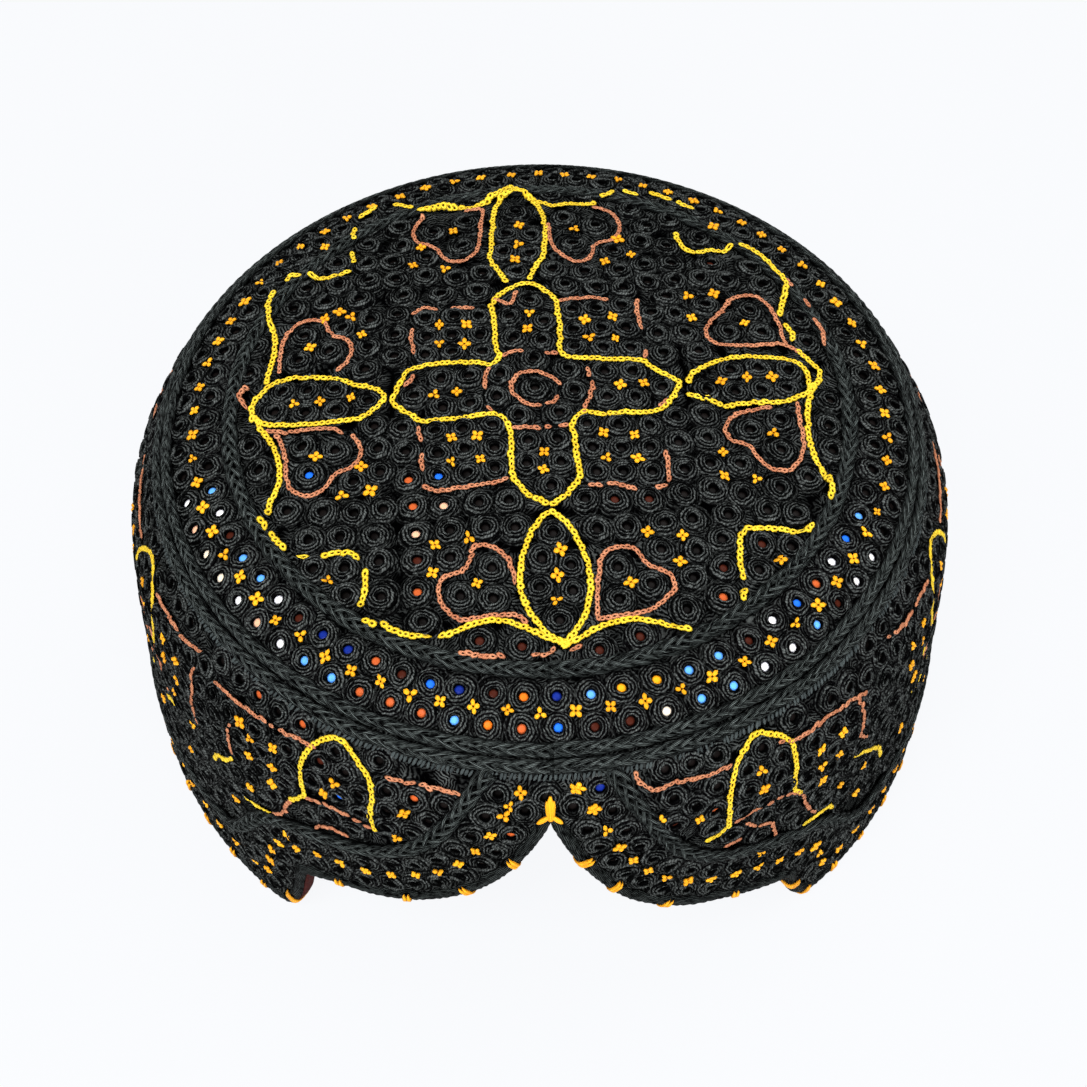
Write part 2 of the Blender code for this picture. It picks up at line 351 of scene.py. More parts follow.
def colour_thread(name, shaded_base, light, strand_highlight, gloss=0.12):
    """Glossy coloured thread: fine strands along each link, and some links paler than others; the strands get
    a painted highlight and the low side of each stitch painted shade.
    """
    made = Finish(name, Roughness=0.45, Specular_IOR_Level=gloss)
    local = made.own("local")
    tone = made.own("tone", 2)
    x, y, z = made.parts(local)
    waver = made.noise(local, 1.1)
    strands = made.ridge(y * 4.5 + x * 1.2 + waver * 1.5)
    # painted shade on the low side of each link, cross and stitch
    height = made.clamp(z * 1.6 + 0.15)
    # the strands painted towards the highlight colour; tone makes some links paler at random
    body = made.blend(made.clamp(strands * 0.5 + waver * 0.5 + tone * 0.5 - 0.2), light, strand_highlight)
    made.feed("Base Color", made.blend(height, shaded_base, body))
    made.relief(strands, 0.00008)
    return made.material


def cord_thread():
    """The braids' black thread, several strands laid along each cord, with a painted highlight on the strands
    and painted shade on each cord's under side and where a strand dips under the next.
    """
    made = Finish("braid_thread", Roughness=0.46, Specular_IOR_Level=0.012)
    local = made.own("local")
    along, around, lit_share = made.parts(local)
    waver = made.noise(local, 0.35, 3.0)
    strands = made.ridge(around * 5.0 + along * 0.30 + waver * 2.0)
    stretched = made.vector("MULTIPLY", local, (0.45, 2.2, 1.0))
    breaks = made.clamp((made.noise(stretched, 1.3) - 0.34) * 3.2)
    # painted highlight on the strands, kept off a cord's under side and the dips, which stay in painted shade
    made.feed("Base Color", made.blend(strands ** 3.0 * breaks * lit_share ** 1.5, BLACK_GROOVE_SHADE, CORD_RIDGE_HIGHLIGHT))
    made.relief(strands, 0.0002)
    return made.material


def mirror_glass():
    made = Finish("mirror_glass", Roughness=0.3, Specular_IOR_Level=0.04)
    local = made.own("local")
    x, y, z = made.parts(local)
    radius = made.maths("SQRT", x * x + y * y)
    # The mirror's colour is a painted reflection, going to a darker, bluer painted shade at its rim
    shade = made.clamp(1.55 - radius * 0.95)
    colour = made.own("reflection", 0)
    rim = made.vector("MULTIPLY", colour, (0.05, 0.12, 0.45))
    made.feed("Base Color", made.blend(shade ** 1.6, rim, colour))
    return made.material


def lining_cloth():
    made = Finish("lining_cloth", Roughness=0.8, Specular_IOR_Level=0.02)
    point = made.object_point()
    x, y, z = made.parts(point)
    turn = made.maths("ARCTAN2", x, y * -1.0 + AXIS_Y)
    warp = made.ridge(turn * 160.0)
    weft = made.ridge(z * 1700.0)
    weave = warp * weft
    mottle = made.noise(point, 60.0, 4.0)
    # random mottle, and the weave's crossings painted lighter as a painted highlight
    made.feed("Base Color", made.blend(mottle * 0.8 + weave * 0.3, (0.008, 0.003, 0.003, 1),
                                       (0.070, 0.017, 0.015, 1)))
    made.relief(weave * 0.6 + mottle, 0.0002)
    return made.material


def floor_paper():
    made = Finish("pale_floor", Roughness=0.9, Specular_IOR_Level=0.05, Emission_Strength=0.945)
    mottle = made.noise(made.object_point(), 3.0)
    paper = made.blend(mottle, (0.952, 0.962, 0.985, 1), (0.960, 0.970, 0.990, 1))
    made.feed("Emission Color", paper)
    made.feed("Base Color", made.blend(mottle, (0.024, 0.025, 0.026, 1), (0.026, 0.027, 0.028, 1)))
    return made.material


GROUND = stitched_ground("filling_stitches")
EYELET = eyelet_thread()
BRAID = cord_thread()
MIRROR = mirror_glass()
LINING_CLOTH = lining_cloth()
# Each thread gives its painted shade at the base, its own colour and its painted highlight
YELLOW = colour_thread("yellow_thread", (0.10, 0.05, 0.001, 1), (0.68, 0.41, 0.008, 1),
                       (0.92, 0.68, 0.045, 1))
COPPER = colour_thread("copper_thread", (0.04, 0.011, 0.006, 1), (0.34, 0.10, 0.044, 1),
                       (0.66, 0.28, 0.145, 1))
ORANGE = colour_thread("orange_thread", (0.08, 0.02, 0.001, 1), (0.62, 0.23, 0.003, 1),
                       (0.92, 0.44, 0.015, 1))
BLACK_CHAIN = colour_thread("black_thread", (0.0004, 0.0005, 0.0005, 1), (0.018, 0.022, 0.023, 1),
                            (0.075, 0.09, 0.09, 1), 0.01)


# Charts of the work, in millimetres. The crown's are in plan, turned with its pattern: x to the
# wearer's left and y to the back, from the crown's centre.

YELLOW_CROWN = [
    # the cross
    [(-30.8, -0.3), (-30, -2), (-27.5, -4.5), (-25, -6.8), (-22, -7), (-17, -7), (-13, -6.8), (-10, -6.8),
     (-8, -8.5), (-7, -11.5), (-7.2, -17), (-7.4, -20), (-7, -23.5), (-5.5, -26), (-3, -28.5), (0, -29.8),
     (3, -28), (5.2, -25.5), (6.3, -23), (6, -19), (6, -14), (5.7, -11), (6.5, -9.3), (8.5, -7.8),
     (12, -8.5), (17, -8.3), (20, -8.5), (24, -8), (26.5, -5.8), (28.3, -3), (29.3, -0.5), (28, 0.7),
     (26, 2), (24, 4), (22.5, 5.5), (20, 6), (16, 6.3), (12, 6.8), (8, 7.2), (6, 8), (5.2, 9.5), (5.3, 13),
     (5.8, 17), (5.6, 21), (5.3, 25), (3.5, 28), (1, 30.2), (-1.5, 30.8), (-4, 29.5), (-7, 27),
     (-8.3, 24.5), (-8.3, 20), (-8.5, 15), (-8.3, 11), (-7.9, 8.5), (-9.5, 6.8), (-13, 7.7), (-17, 8.2),
     (-21, 8.3), (-25, 8), (-27.3, 7.2), (-28.8, 5), (-30, 2), (-30.8, -0.3)],
    # the leaves
    [(-0.3, -31.6), (2.2, -34), (4, -37.5), (5.2, -41), (6, -45), (5.9, -49), (5, -52.5), (3.8, -55.5),
     (2, -58), (0, -59.8), (-3, -58), (-5.5, -54.8), (-7.3, -50.5), (-7.7, -46.5), (-6.9, -42), (-5.5, -38),
     (-3.5, -34.5), (-1.5, -32.3), (-0.3, -31.6)],
    [(31, -4), (34, -4.8), (36, -5.7), (38.5, -6.9), (41, -6.3), (44, -6), (48, -5.8), (52, -5), (55, -3.5),
     (58, -1.5), (59, -0.3)],
    [(31.3, -0.3), (32, 1.5), (33.5, 2.8), (36, 4.3), (39, 5.8), (42, 6.6), (47, 7), (52, 6.8), (55, 6.2),
     (57, 4.5), (57.5, 2), (57.3, -1.5)],
    [(-32.8, -0.3), (-35, -2.3), (-37.5, -3.8), (-42, -4), (-46, -3.8), (-50, -3.4), (-54, -2.6),
     (-58, -1.2), (-60.3, 0.6)],
    [(-32.9, -0.3), (-32.5, 1.3), (-33.6, 2.8), (-36, 4.2), (-38.5, 5.2), (-41, 6.9), (-45, 8.5),
     (-49, 9.4), (-53, 9.9), (-57, 8.6), (-59.5, 6), (-60.6, 3), (-60.3, 0)],
    [(-4.8, 31.8), (-6.3, 35.5), (-7.8, 40), (-7.3, 44), (-7, 48), (-6.5, 52), (-6, 56), (-5, 60),
     (-3.5, 62.3), (-1, 63.6)],
    [(0.3, 32.3), (2, 36), (3.5, 38.7), (4.4, 42), (5, 46), (5.4, 50), (5.2, 54), (4.5, 58), (3, 61),
     (1, 63.2), (-1, 63.9)],
    # the scrolls
    [(-0.5, -60.6), (3, -59.2), (6.5, -57.4), (10, -56.4), (14, -56), (17, -56.6), (20, -57.6),
     (24.2, -59.3)],
    [(0.5, -60.4), (-3, -58.9), (-6, -57.1), (-9, -55.6), (-12, -54.5), (-15, -54.3), (-18, -54.9),
     (-21, -55.9), (-24, -56.4)],
    [(-26, -56.7), (-28, -56.4), (-30, -55.8), (-33, -54.3), (-34.7, -52.8)],
    [(-36, -52.8), (-38.3, -51.8)],
    [(58.6, 0), (57, -3.5), (55.7, -8), (55.2, -12), (54.8, -16), (55.4, -20), (56.5, -24), (57, -27),
     (56.3, -30.7)],
    [(48.9, 42), (51, 40.5), (53.5, 37.5), (55.5, 33.5), (57.1, 30), (56.2, 26), (55, 22), (54.4, 20)],
    [(55.2, 17.3), (56, 14.8), (56, 12.4)],
    [(56.5, 9.3), (58.6, 6.7), (60.2, 3.5), (59.7, 1), (57.6, -1.2)],
    [(-60, 1), (-58.5, -2.8), (-56.3, -7), (-54.9, -11), (-54.5, -15), (-55.2, -19), (-56.5, -22),
     (-57, -24.5)],
    [(-58, -26), (-56.7, -28.8)],
    [(-56, -30), (-54.6, -32), (-53, -34)],
    [(-57.6, 9.5), (-56.6, 14), (-56, 18), (-55.8, 22), (-56.3, 26), (-57, 30), (-56.9, 34), (-55.6, 37)],
    [(-1.5, 65.2), (-5, 62.8), (-8, 61), (-11, 59.8), (-14, 59.8), (-17, 60), (-20, 59.4), (-23, 58.9)],
    [(-24.5, 60), (-28.6, 62.6)],
    [(-33, 61.5), (-36.6, 59)],
    [(-1.5, 65.2), (2, 62.4), (5, 60.2), (8, 58.6), (11, 59.1), (14, 58.8), (18, 58.8)],
    [(19.5, 60), (22.5, 61.8)],
    [(24.5, 62), (27.8, 60.4)],
    [(31, 61.2), (35, 58.5)],
    [(36.4, 57.6), (40, 55.2)],
    # the corners
    [(35, -53), (35.7, -50.5)],
    [(36.1, -48), (36, -45.5), (36.3, -42), (37, -39), (38.5, -37.2), (42, -37), (46, -37.2), (49.5, -37.8),
     (52, -36.6)],
    [(-50.3, -35.6), (-49.2, -35.5)],
    [(-46, -36), (-42.5, -36), (-40, -36.5), (-38.7, -37.9)],
    [(-37.5, -41), (-38, -45), (-38.8, -48.6)],
    [(-53, 39.6), (-52.2, 41), (-49.8, 41)],
    [(-48, 40.5), (-45, 40), (-42, 40.4)],
    [(-41.2, 40.5), (-39.2, 41.2)],
    [(-38.4, 44), (-38.7, 48.2)],
    [(-38.1, 51), (-37.5, 55)],
    [(34.8, 47.2), (35.4, 44), (36.3, 41.3), (38.5, 40.1), (42, 41.3), (44.5, 41), (47, 42)],
]

COPPER_CROWN = [
    # the hearts
    [(6.8, -56), (6.9, -52), (7.3, -49), (8, -45.5), (8.8, -42.5), (10.5, -41), (13.5, -40.7), (15.5, -41.3),
     (16.8, -43.5), (18.5, -45.3), (20.8, -46.2), (22.3, -48), (22.2, -50), (20.3, -52), (17.5, -54),
     (14.5, -55), (11, -55.2), (7, -55.8)],
    [(-6.9, -54.9), (-9.5, -53.6), (-13, -53.3), (-17, -53.5), (-20, -53.4), (-22, -51.8), (-23.3, -49.5),
     (-23.6, -47), (-23, -44.8), (-21, -43.8), (-19, -43.4), (-17.5, -42), (-16.8, -40), (-16, -38.1),
     (-14, -38), (-12, -39), (-10, -41), (-9, -44), (-8.6, -47)],
    [(53.8, -5.5), (53.6, -10), (53.7, -14), (53, -18), (51.5, -21), (49, -23.3), (46, -23), (44, -21.5),
     (42.5, -19), (42, -17.5), (40.5, -16.7), (38.5, -16), (37.3, -14), (38, -11.5), (39.3, -9.8),
     (42, -8.5), (45, -7.6), (48, -6.9)],
    [(-57, -3.4), (-54, -4.6), (-50, -4.9), (-46, -5.3), (-43, -6), (-41.3, -7.2)],
    [(-39.4, -8.2), (-38, -10.5), (-37.8, -13), (-38.5, -15.3), (-40.3, -16.7), (-43, -17.3), (-44.3, -19),
     (-46, -21), (-48.5, -21.7), (-51, -20.7), (-52.7, -18.5), (-53.2, -15), (-53.5, -11), (-54, -8),
     (-55.5, -5)],
    [(-54.6, 12), (-54.5, 17), (-54, 21), (-52.5, 24), (-50.5, 26), (-47.5, 26.5), (-44.8, 25.2),
     (-44, 22.5), (-43, 20.5), (-41, 19.5), (-39.5, 17.8), (-39, 15.5), (-40, 12.5), (-42.5, 10)],
    [(-22, 57.8), (-24, 54.5), (-24.5, 51), (-23.8, 48.5), (-21.5, 46.8), (-19.5, 45), (-18.5, 42.5),
     (-16.5, 40), (-14.5, 39.8), (-12.5, 40.8), (-10.8, 43), (-9.8, 47), (-9.2, 51), (-8.8, 55),
     (-8.5, 58.8), (-12.5, 58.6)],
    [(6, 51), (6.2, 47), (6.2, 44.5), (7, 42), (8.5, 39.5), (10, 38), (12, 37.2), (13.8, 38), (15, 40),
     (16, 43), (17.5, 44), (19.5, 44.3), (21, 46), (22.2, 48.5), (22.3, 51.5), (21.5, 54), (19.5, 56.3),
     (17, 57.8)],
    [(57.3, 8.3), (55, 10.6), (51, 11), (46, 10.4), (42, 10.2), (38.8, 10.8), (37.2, 12.5), (37.5, 15.5),
     (39, 18), (41, 20), (42.5, 22), (44, 24.3), (46.5, 25.7), (49.5, 25.8), (51.8, 24), (53, 21),
     (53.8, 17), (54, 12.5), (54.6, 11.2)],
    # the ring and the curl at the centre
    [(4.1, 0), (3.5, 1.2), (2, 2.5), (0, 3.8), (-2, 4), (-4.3, 3.3), (-5.6, 1.5), (-5.9, -0.7), (-4.5, -3.5),
     (-2.3, -5.1), (0, -5.5)],
    [(1.2, -4.9), (2.6, -4.7), (3.3, -3.2)],
    [(8.4, -7.6), (9.5, -5), (10.8, -2), (11, 0.5)],
    [(10.7, 2), (10.3, 4.6)],
    [(-10.3, 5.6), (-11.1, 3.6), (-11.5, 0.4)],
    [(-11, -5), (-10.4, -6)],
    [(-6.3, -10.7), (-4, -10.8), (-1, -11.4)],
    [(0.3, -11.4), (1.6, -11)],
    [(3.2, -11), (5, -10.8)],
    [(-7, 9.2), (-4.5, 10), (-2.5, 10)],
    [(2, 9), (4.6, 8.7)],
    # the squares
    [(8, -26), (10.5, -26.3)],
    [(12, -26), (14.5, -26.5), (17.3, -27.6)],
    [(21.3, -27.2), (23.6, -26.8)],
    [(24, -18.8), (24.4, -21), (24.2, -23), (23.8, -26)],
    [(-25.8, -8.7), (-25.3, -12)],
    [(-25.4, -15.3), (-25.4, -19.2)],
    [(-25.2, -23.2), (-23, -24.5), (-19, -24.5), (-14, -24.2), (-9.5, -23.6), (-8.2, -23)],
    [(-25.5, 24), (-23, 25.3), (-20.3, 24.6)],
    [(-17, 24.6), (-12, 24)],
    [(-26.2, 19.3), (-26, 14), (-25.7, 12)],
    [(6.3, 24.6), (10, 25), (13, 25.1), (17, 24.2)],
    [(23.1, 24), (22.8, 20), (23.3, 15)],
    [(23.4, 8.4), (23, 6.6)],
    [(24.5, -6.9), (26.3, -5)],
    [(-26, 5.5), (-28, 3)],
    [(-7.5, 26), (-4.5, 24.6), (-2.8, 28.3)],
    # the rim
    [(-20, -60.8), (-17, -61.6), (-12, -62.3)],
    [(-6.2, -62.5), (-3, -62.1), (-2.2, -60.6)],
    [(1, -61.7), (3.2, -60.8)],
    [(-61.5, 9), (-62.8, 6.2), (-61.3, 3.6)],
    [(58.2, 28.6), (57.2, 31)],
    [(60.3, 24), (61, 22)],
    [(61.6, 18), (62.5, 14), (62.2, 10)],
]

# Small orange crosses on the crown
CROWN_CROSSES = [
    (12, -13.5), (18.3, -14.3), (12, -19.7), (18.3, -20.2),
    (-19, -12), (-13.8, -12.2), (-19.4, -18), (-13.5, -18),
    (-20, 19.5), (-14.2, 19), (-20.3, 14), (-15, 13.2),
    (11.2, 18), (17.3, 18.8), (11.7, 12.8), (17.2, 12.2),
    (-0.5, -17.5), (-1, -21.7), (-22, -0.2), (-17.3, -0.2), (16.8, -1), (21.8, -0.7),
    (-0.5, 21), (-1.3, 16.3),
    (0.8, -40.5), (-0.3, -46), (-1, -51.3), (44, 1), (49.5, 1.3), (38.3, -0.3),
    (-51.5, 2.5), (-46, 2.1), (-39.4, 1.8), (-0.5, 51.3), (-1.3, 44.2), (-2.3, 39),
    (13.8, -48.5), (-16, -46.3), (47.3, -14), (-47, -12.3), (-48, 18), (-15.5, 51), (12, 49.2), (46, 17),
    (36, -19), (35.5, -24.8), (42, -25.5), (18.3, -37.5), (25.2, -38.5), (24, -44.3),
    (-41.8, -23), (-36, -22.8), (-37.7, -16.6), (-23.7, -37), (-17, -36.3), (-24.5, -43),
    (-44.8, 26.2), (-41.5, 27.5), (-39, 25.5), (-36.8, 19.6), (-23, 46), (-25, 40.2), (-18, 37.6),
    (17.6, 37), (23.7, 39.2), (21.3, 44.6), (34.5, 25), (40.5, 26), (34.5, 18.2),
    (43.8, -44.6), (-45, -41.8), (-44.5, 49.3), (43.5, 48.2),
]

# Eyelets on the crown, by rows from the front to the back
CROWN_EYELETS = [
    (6.4, -61.9), (-8.3, -60.1), (14.5, -59.5), (-16.4, -58.4), (-0.7, -54.6), (24.2, -54.4), (-27, -53.1),
    (31.9, -52), (11.7, -51.1), (2.4, -49.6), (-13.1, -49.8), (17.6, -48.9), (-19.3, -48.5), (-3.9, -48.2),
    (26.2, -47.6), (-27.7, -46.7), (-34.9, -46.7), (33.2, -45.8), (39.6, -46), (11.7, -44.9), (-41.3, -44.1),
    (-12.9, -43.2), (2.8, -43), (-2.3, -41.6), (20.7, -41.2), (27.7, -41.2), (41.2, -40.7), (46.9, -40.3),
    (32.8, -39.4), (-27.4, -39.4), (-21.5, -39.4), (-35.4, -39.4), (-41.3, -38.8), (-47.3, -37.7),
    (0.4, -36.8), (8.4, -36.3), (14.5, -36.1), (21.8, -35.9), (-8.1, -34.8), (27.1, -34.4), (-27.4, -34.4),
    (-13.3, -34.1), (-20.6, -33.9), (35.4, -33.5), (49.1, -33.3), (-35.6, -33.3), (43.4, -32.8),
    (-48.8, -32.4), (-42.4, -32.4), (-8.5, -28.4), (-14.4, -28.6), (-21.5, -28.4), (12.5, -29.4),
    (19.6, -29.8), (26.9, -28.9), (7, -28.6), (-28.3, -27.5), (38.1, -29.5), (33.2, -27.9), (-33.6, -27.4),
    (46.7, -27.4), (-45.7, -26), (-38.9, -27.5), (0.2, -25.3), (53.1, -24.7), (-53, -24.5),
    (9.5, -22.6), (15.2, -23.1), (21.1, -23.2), (27.7, -22.7), (33.2, -21.7), (39, -21.6), (-22.4, -21.2),
    (-16.6, -21), (-10.9, -20.6), (-28.3, -21.1), (2.6, -20.3), (-3.6, -20.7), (-34, -18), (-42, -21.8),
    (48.4, -18), (59.4, -17.6), (9.4, -16.9), (15.2, -17), (21, -17.1), (27.2, -16.3), (33.3, -15.2),
    (-48.5, -16.5), (-10.5, -15.1), (-16.3, -15.2), (-22, -15), (-28.5, -14.2), (2.4, -13.8), (-3.6, -14.4),
    (-58.9, -13.2), (42.6, -13), (-33.8, -12.6), (59.7, -11.2), (9.2, -11.1), (15.1, -11), (20.9, -11.2),
    (-43, -11.5), (49.6, -10.2), (-10.6, -9.6), (-16.4, -9.6), (-22.3, -9.6), (27.5, -9.8), (33.6, -9.4),
    (-49.8, -9.2), (-28.5, -7.9), (3.4, -7.6), (-4, -7), (-34.4, -7), (-60.8, -6.6),
    (13.8, -4), (19.4, -4.3), (61.3, -4.3), (-14.7, -3.5), (-21, -3.3), (41, -2.6), (47.6, -2.3),
    (53.3, -1.3), (-9, -1.8), (7.4, -2.2), (24.7, -1.3), (35.4, -1.6), (-26.4, 0.3), (-1, -0.6), (-42.8, -0.9),
    (-49.5, -0.8), (-36.5, 0.5), (-56, 1.5), (13.4, 2.7), (19.4, 2.6), (35.2, 2.5), (-20.1, 4), (-14.3, 3.9),
    (41, 3.5), (54, 2.7), (48.3, 4.6), (-55.3, 5.7), (-42.9, 4.6), (-8.2, 3.8), (6.5, 4.6), (-48.9, 5.6),
    (-1.2, 7.3), (27, 7.8), (34.5, 8.8), (-36.3, 9.4), (-30, 12), (8.8, 10.6), (14.3, 9.9), (20, 9.8),
    (-12, 11), (-17.6, 10.9), (-23.4, 11.6), (60, 11.8), (-61.3, 13.6), (1.5, 13.6), (-4.5, 13.8),
    (26.6, 13.6), (32.6, 13.4), (42, 14.2), (49.4, 14.3), (-36, 15.7), (-50.2, 15.2), (8.4, 15.8),
    (14.3, 15.6), (20.1, 15.6), (-12.2, 16.3), (-17.5, 16.4), (-23, 17), (-44, 16.2), (-29.2, 18.2),
    (59.2, 19.7), (2.4, 19.5), (-4.8, 20.6), (26.4, 20.2), (29.8, 24), (32, 19.8), (38, 22.6),
    (8.6, 21.3), (14.3, 21.4), (20, 21.5), (47.8, 21.2), (-11.4, 21.8), (-17, 21.9), (-22.7, 22.3),
    (-35, 24), (-40.6, 23.6), (-49.3, 21.9), (-60, 21.5), (-28.9, 24.6), (-0.9, 25.4), (21.2, 27.9),
    (26.8, 29.2), (8, 29.8), (14.6, 29), (32.3, 30.2), (38, 31.2), (43.9, 30.9), (52.2, 30), (-11.2, 29.7),
    (-19.2, 29.6), (-27.6, 30), (-37.2, 31.2), (-44.6, 31.8), (-51.7, 31.2), (12.9, 33.6), (5.8, 34.8),
    (20.4, 33.9), (26.2, 35.3), (-1.7, 35.7), (32.5, 36), (-14.6, 36), (-9.3, 36.4), (-22.4, 36.2),
    (50.7, 36), (41.4, 36.6), (-28.9, 36), (-48.6, 37.4), (-41.8, 37.2), (-35, 37), (0.9, 41),
    (-30.5, 42.6), (-21.6, 41.8), (20.4, 41.5), (-4.6, 42.3), (32.2, 42.4), (26.4, 44.2), (-35.6, 43.2),
    (-57.5, 43.8), (11.2, 43.9), (40.1, 45.6), (-40.9, 44.7), (-13.8, 45.3), (-47.2, 45.4), (-27.4, 47.6),
    (2.2, 47.5), (-3.8, 48.3), (29.5, 50.4), (-35, 49.8), (-54.2, 48.8), (33.2, 52), (16.9, 50.2),
    (-20, 51.4), (-41.3, 51.4), (9.9, 53.6), (-12.3, 54.3), (-27.6, 55), (-49.4, 52.9), (-0.9, 56.6),
    (25.5, 56.6), (-34.9, 56.2), (16, 63.4), (7.8, 64.2), (-22.5, 63.4), (-16.4, 63.5), (-9.6, 64.6),
]


# The wall's charts give the angle from centre front in degrees and the height above the hem.

YELLOW_WALL = [
    [(20, 51.5), (21.5, 52), (23, 53.5), (23.2, 57), (23.2, 62), (23.8, 66), (24.8, 69.5), (26.5, 72),
     (28.3, 73.5), (30, 72.5), (32, 70.5), (33, 68.5), (33.3, 64), (33.2, 58), (33.3, 54), (34.6, 51)],
    [(31, 37.6), (33, 36.5), (37, 36.2), (40.5, 35), (41, 33.5)],
    [(44.5, 48), (47.5, 44), (50, 40), (51.4, 36), (52, 32)],
    [(-22.4, 55.8), (-23, 60), (-23, 66), (-24, 69.5), (-26, 72), (-28.5, 74), (-31, 72.5), (-32.5, 69.5),
     (-33.2, 66), (-33, 60), (-32.8, 56.5), (-34, 53.5), (-35.2, 51.5)],
    [(-45.5, 49.8), (-47, 47), (-49.3, 44), (-50, 41)],
    [(-38, 40.5), (-41, 38.5), (-44, 38)],
]
COPPER_WALL = [
    [(11.2, 74), (12, 71.5), (13, 70.3), (16, 70.4), (20, 69.9), (24, 69.9)],
    [(31.5, 69.6), (34, 68.1), (38, 68), (42, 67.5), (45, 66.6), (47, 65.5)],
    [(45.3, 66), (45.7, 62), (45.8, 57), (45.5, 54), (47, 50)],
    [(24, 54), (27, 54.9), (30, 54.6), (33, 53.2), (34.6, 50), (35.5, 45), (36.5, 41), (37.5, 37.8)],
    [(25.8, 51.4), (27.5, 48.5), (29.5, 46.6), (30.3, 43), (30.7, 38.5)],
    [(23, 46.2), (25.2, 46.6)],
    [(-11.7, 70.6), (-15, 70.9), (-20, 70.5), (-22.8, 70)],
    [(-32, 70.4), (-36, 69.8), (-42, 69), (-46, 68.3), (-50, 68)],
    [(-32.4, 56), (-29, 57.1), (-25, 56.8), (-23.1, 55.9)],
    [(-35.2, 51), (-36, 47), (-37, 43), (-38.6, 40.4)],
    [(-26.3, 49.4), (-29.5, 49.2), (-31.6, 46), (-34, 42.4)],
    [(-45.7, 62), (-46, 57), (-45.4, 52)],
]
# One arch with its lines, from its own middle, for the sides and the back
ARCHES = [-158.4, -115.1, -71.8, 71.8, 115.1, 158.4]
ARCH_YELLOW = [
    [(-8.4, 48), (-6.6, 49), (-5, 51), (-5.1, 57), (-4.8, 62), (-3.8, 66), (-2, 69), (0, 70.3),
     (2, 69), (3.8, 66), (4.9, 62), (5.1, 57), (5, 51.5), (6.4, 48.5)],
    [(-11.5, 40), (-8.5, 37.2), (-4, 35.6), (0, 35.2), (4, 35.6), (8.5, 37.4), (11.5, 41)],
]
ARCH_COPPER = [
    [(-18, 70.5), (-14, 68.6), (-9, 68), (-5, 67.3)],
    [(5, 67.3), (9, 68), (14, 68.6), (18, 70.5)],
    [(-4.6, 51.4), (0, 52.8), (4.6, 51.4), (6.6, 46), (8.6, 40)],
    [(-6.4, 48), (-8, 43), (-8.8, 38.8)],
    [(-2.6, 48.6), (0, 47.4), (2.2, 44), (2.8, 38.5)],
    [(17.5, 66), (18, 60), (17.4, 54), (18.6, 49)],
]
ARCH_CROSSES = [(0, 62.5), (0.2, 56.8), (-9.5, 61.5), (-13.5, 61.5), (-9.5, 55), (-13.5, 54.6), (9.5, 61.5),
                (13.5, 61.5), (9.5, 55), (13.5, 54.6), (-12, 47.4), (12, 47.4), (0.5, 43), (17, 45),
                (-4.5, 29.6), (5, 29.2), (15, 30.8), (-14, 31)]
WALL_CROSSES = [
    (13.8, 63), (19, 60), (28, 66), (28.2, 60.8), (37.5, 61.5), (41.4, 61.6), (37.8, 55.3), (41, 54.4),
    (38, 50), (42, 41), (47, 39), (28.5, 36.5), (46, 30), (-18.5, 64), (-28.2, 65), (-29.6, 61),
    (-37.8, 65), (-43.8, 65), (-41.8, 62.8), (-37.8, 59.2), (-41.9, 57.2), (-37.9, 53.4), (-19.5, 55.6),
    (-42.3, 44.8), (-36.5, 35), (-46, 33), (-5.2, 69.4), (5.6, 68.6), (3.6, 72.8),
]
WHIP_STITCHES = [3.6, 7.6, 14.6, 25.0, 34.6, -4.2, -10.2, -18.6, -28.2, -36.6]

HEM_ROWS, HEM_CROSS_ROW, HEM_PITCH = (0.0059, 0.0125), 0.0092, 6.25
BAND_COUNT = 70
# Degrees that the band's rings are turned at centre front, and how much further they are beside it
BAND_TURN, BAND_FURTHER = 1.3, 2.2
INNER_ROW, BAND_CROSS_ROW, OUTER_ROW = 70.4, 73.2, 76.0
# Mirrors that show a painted reflection in a colour, by place in their ring, counted from the one at centre
# front
BAND_INNER = {-15: "sky", -14: "white", -13: "umber", -12: "sky", -11: "sky", -10: "white", -9: "umber",
              -8: "navy", -7: "navy", -6: "copper", -5: "umber", -4: "blue", -3: "navy", -2: "umber",
              -1: "orange", 0: "navy", 1: "sky", 2: "amber", 3: "amber", 4: "sky", 5: "sky", 6: "umber",
              7: "white", 8: "blue", 9: "copper", 10: "white", 11: "blue", 12: "sky"}
BAND_OUTER = {-15: "white", -14: "peach", -13: "cream", -12: "cream", -11: "white", -10: "peach", -9: "white",
              -8: "sky", -7: "sky", -6: "copper", -5: "copper", -4: "copper", -3: "sky", -2: "orange",
              -1: "copper", 0: "blue", 1: "umber", 2: "umber", 3: "cream", 4: "sky", 5: "sky", 6: "white",
              7: "white", 8: "sky", 9: "umber", 10: "white", 11: "white"}
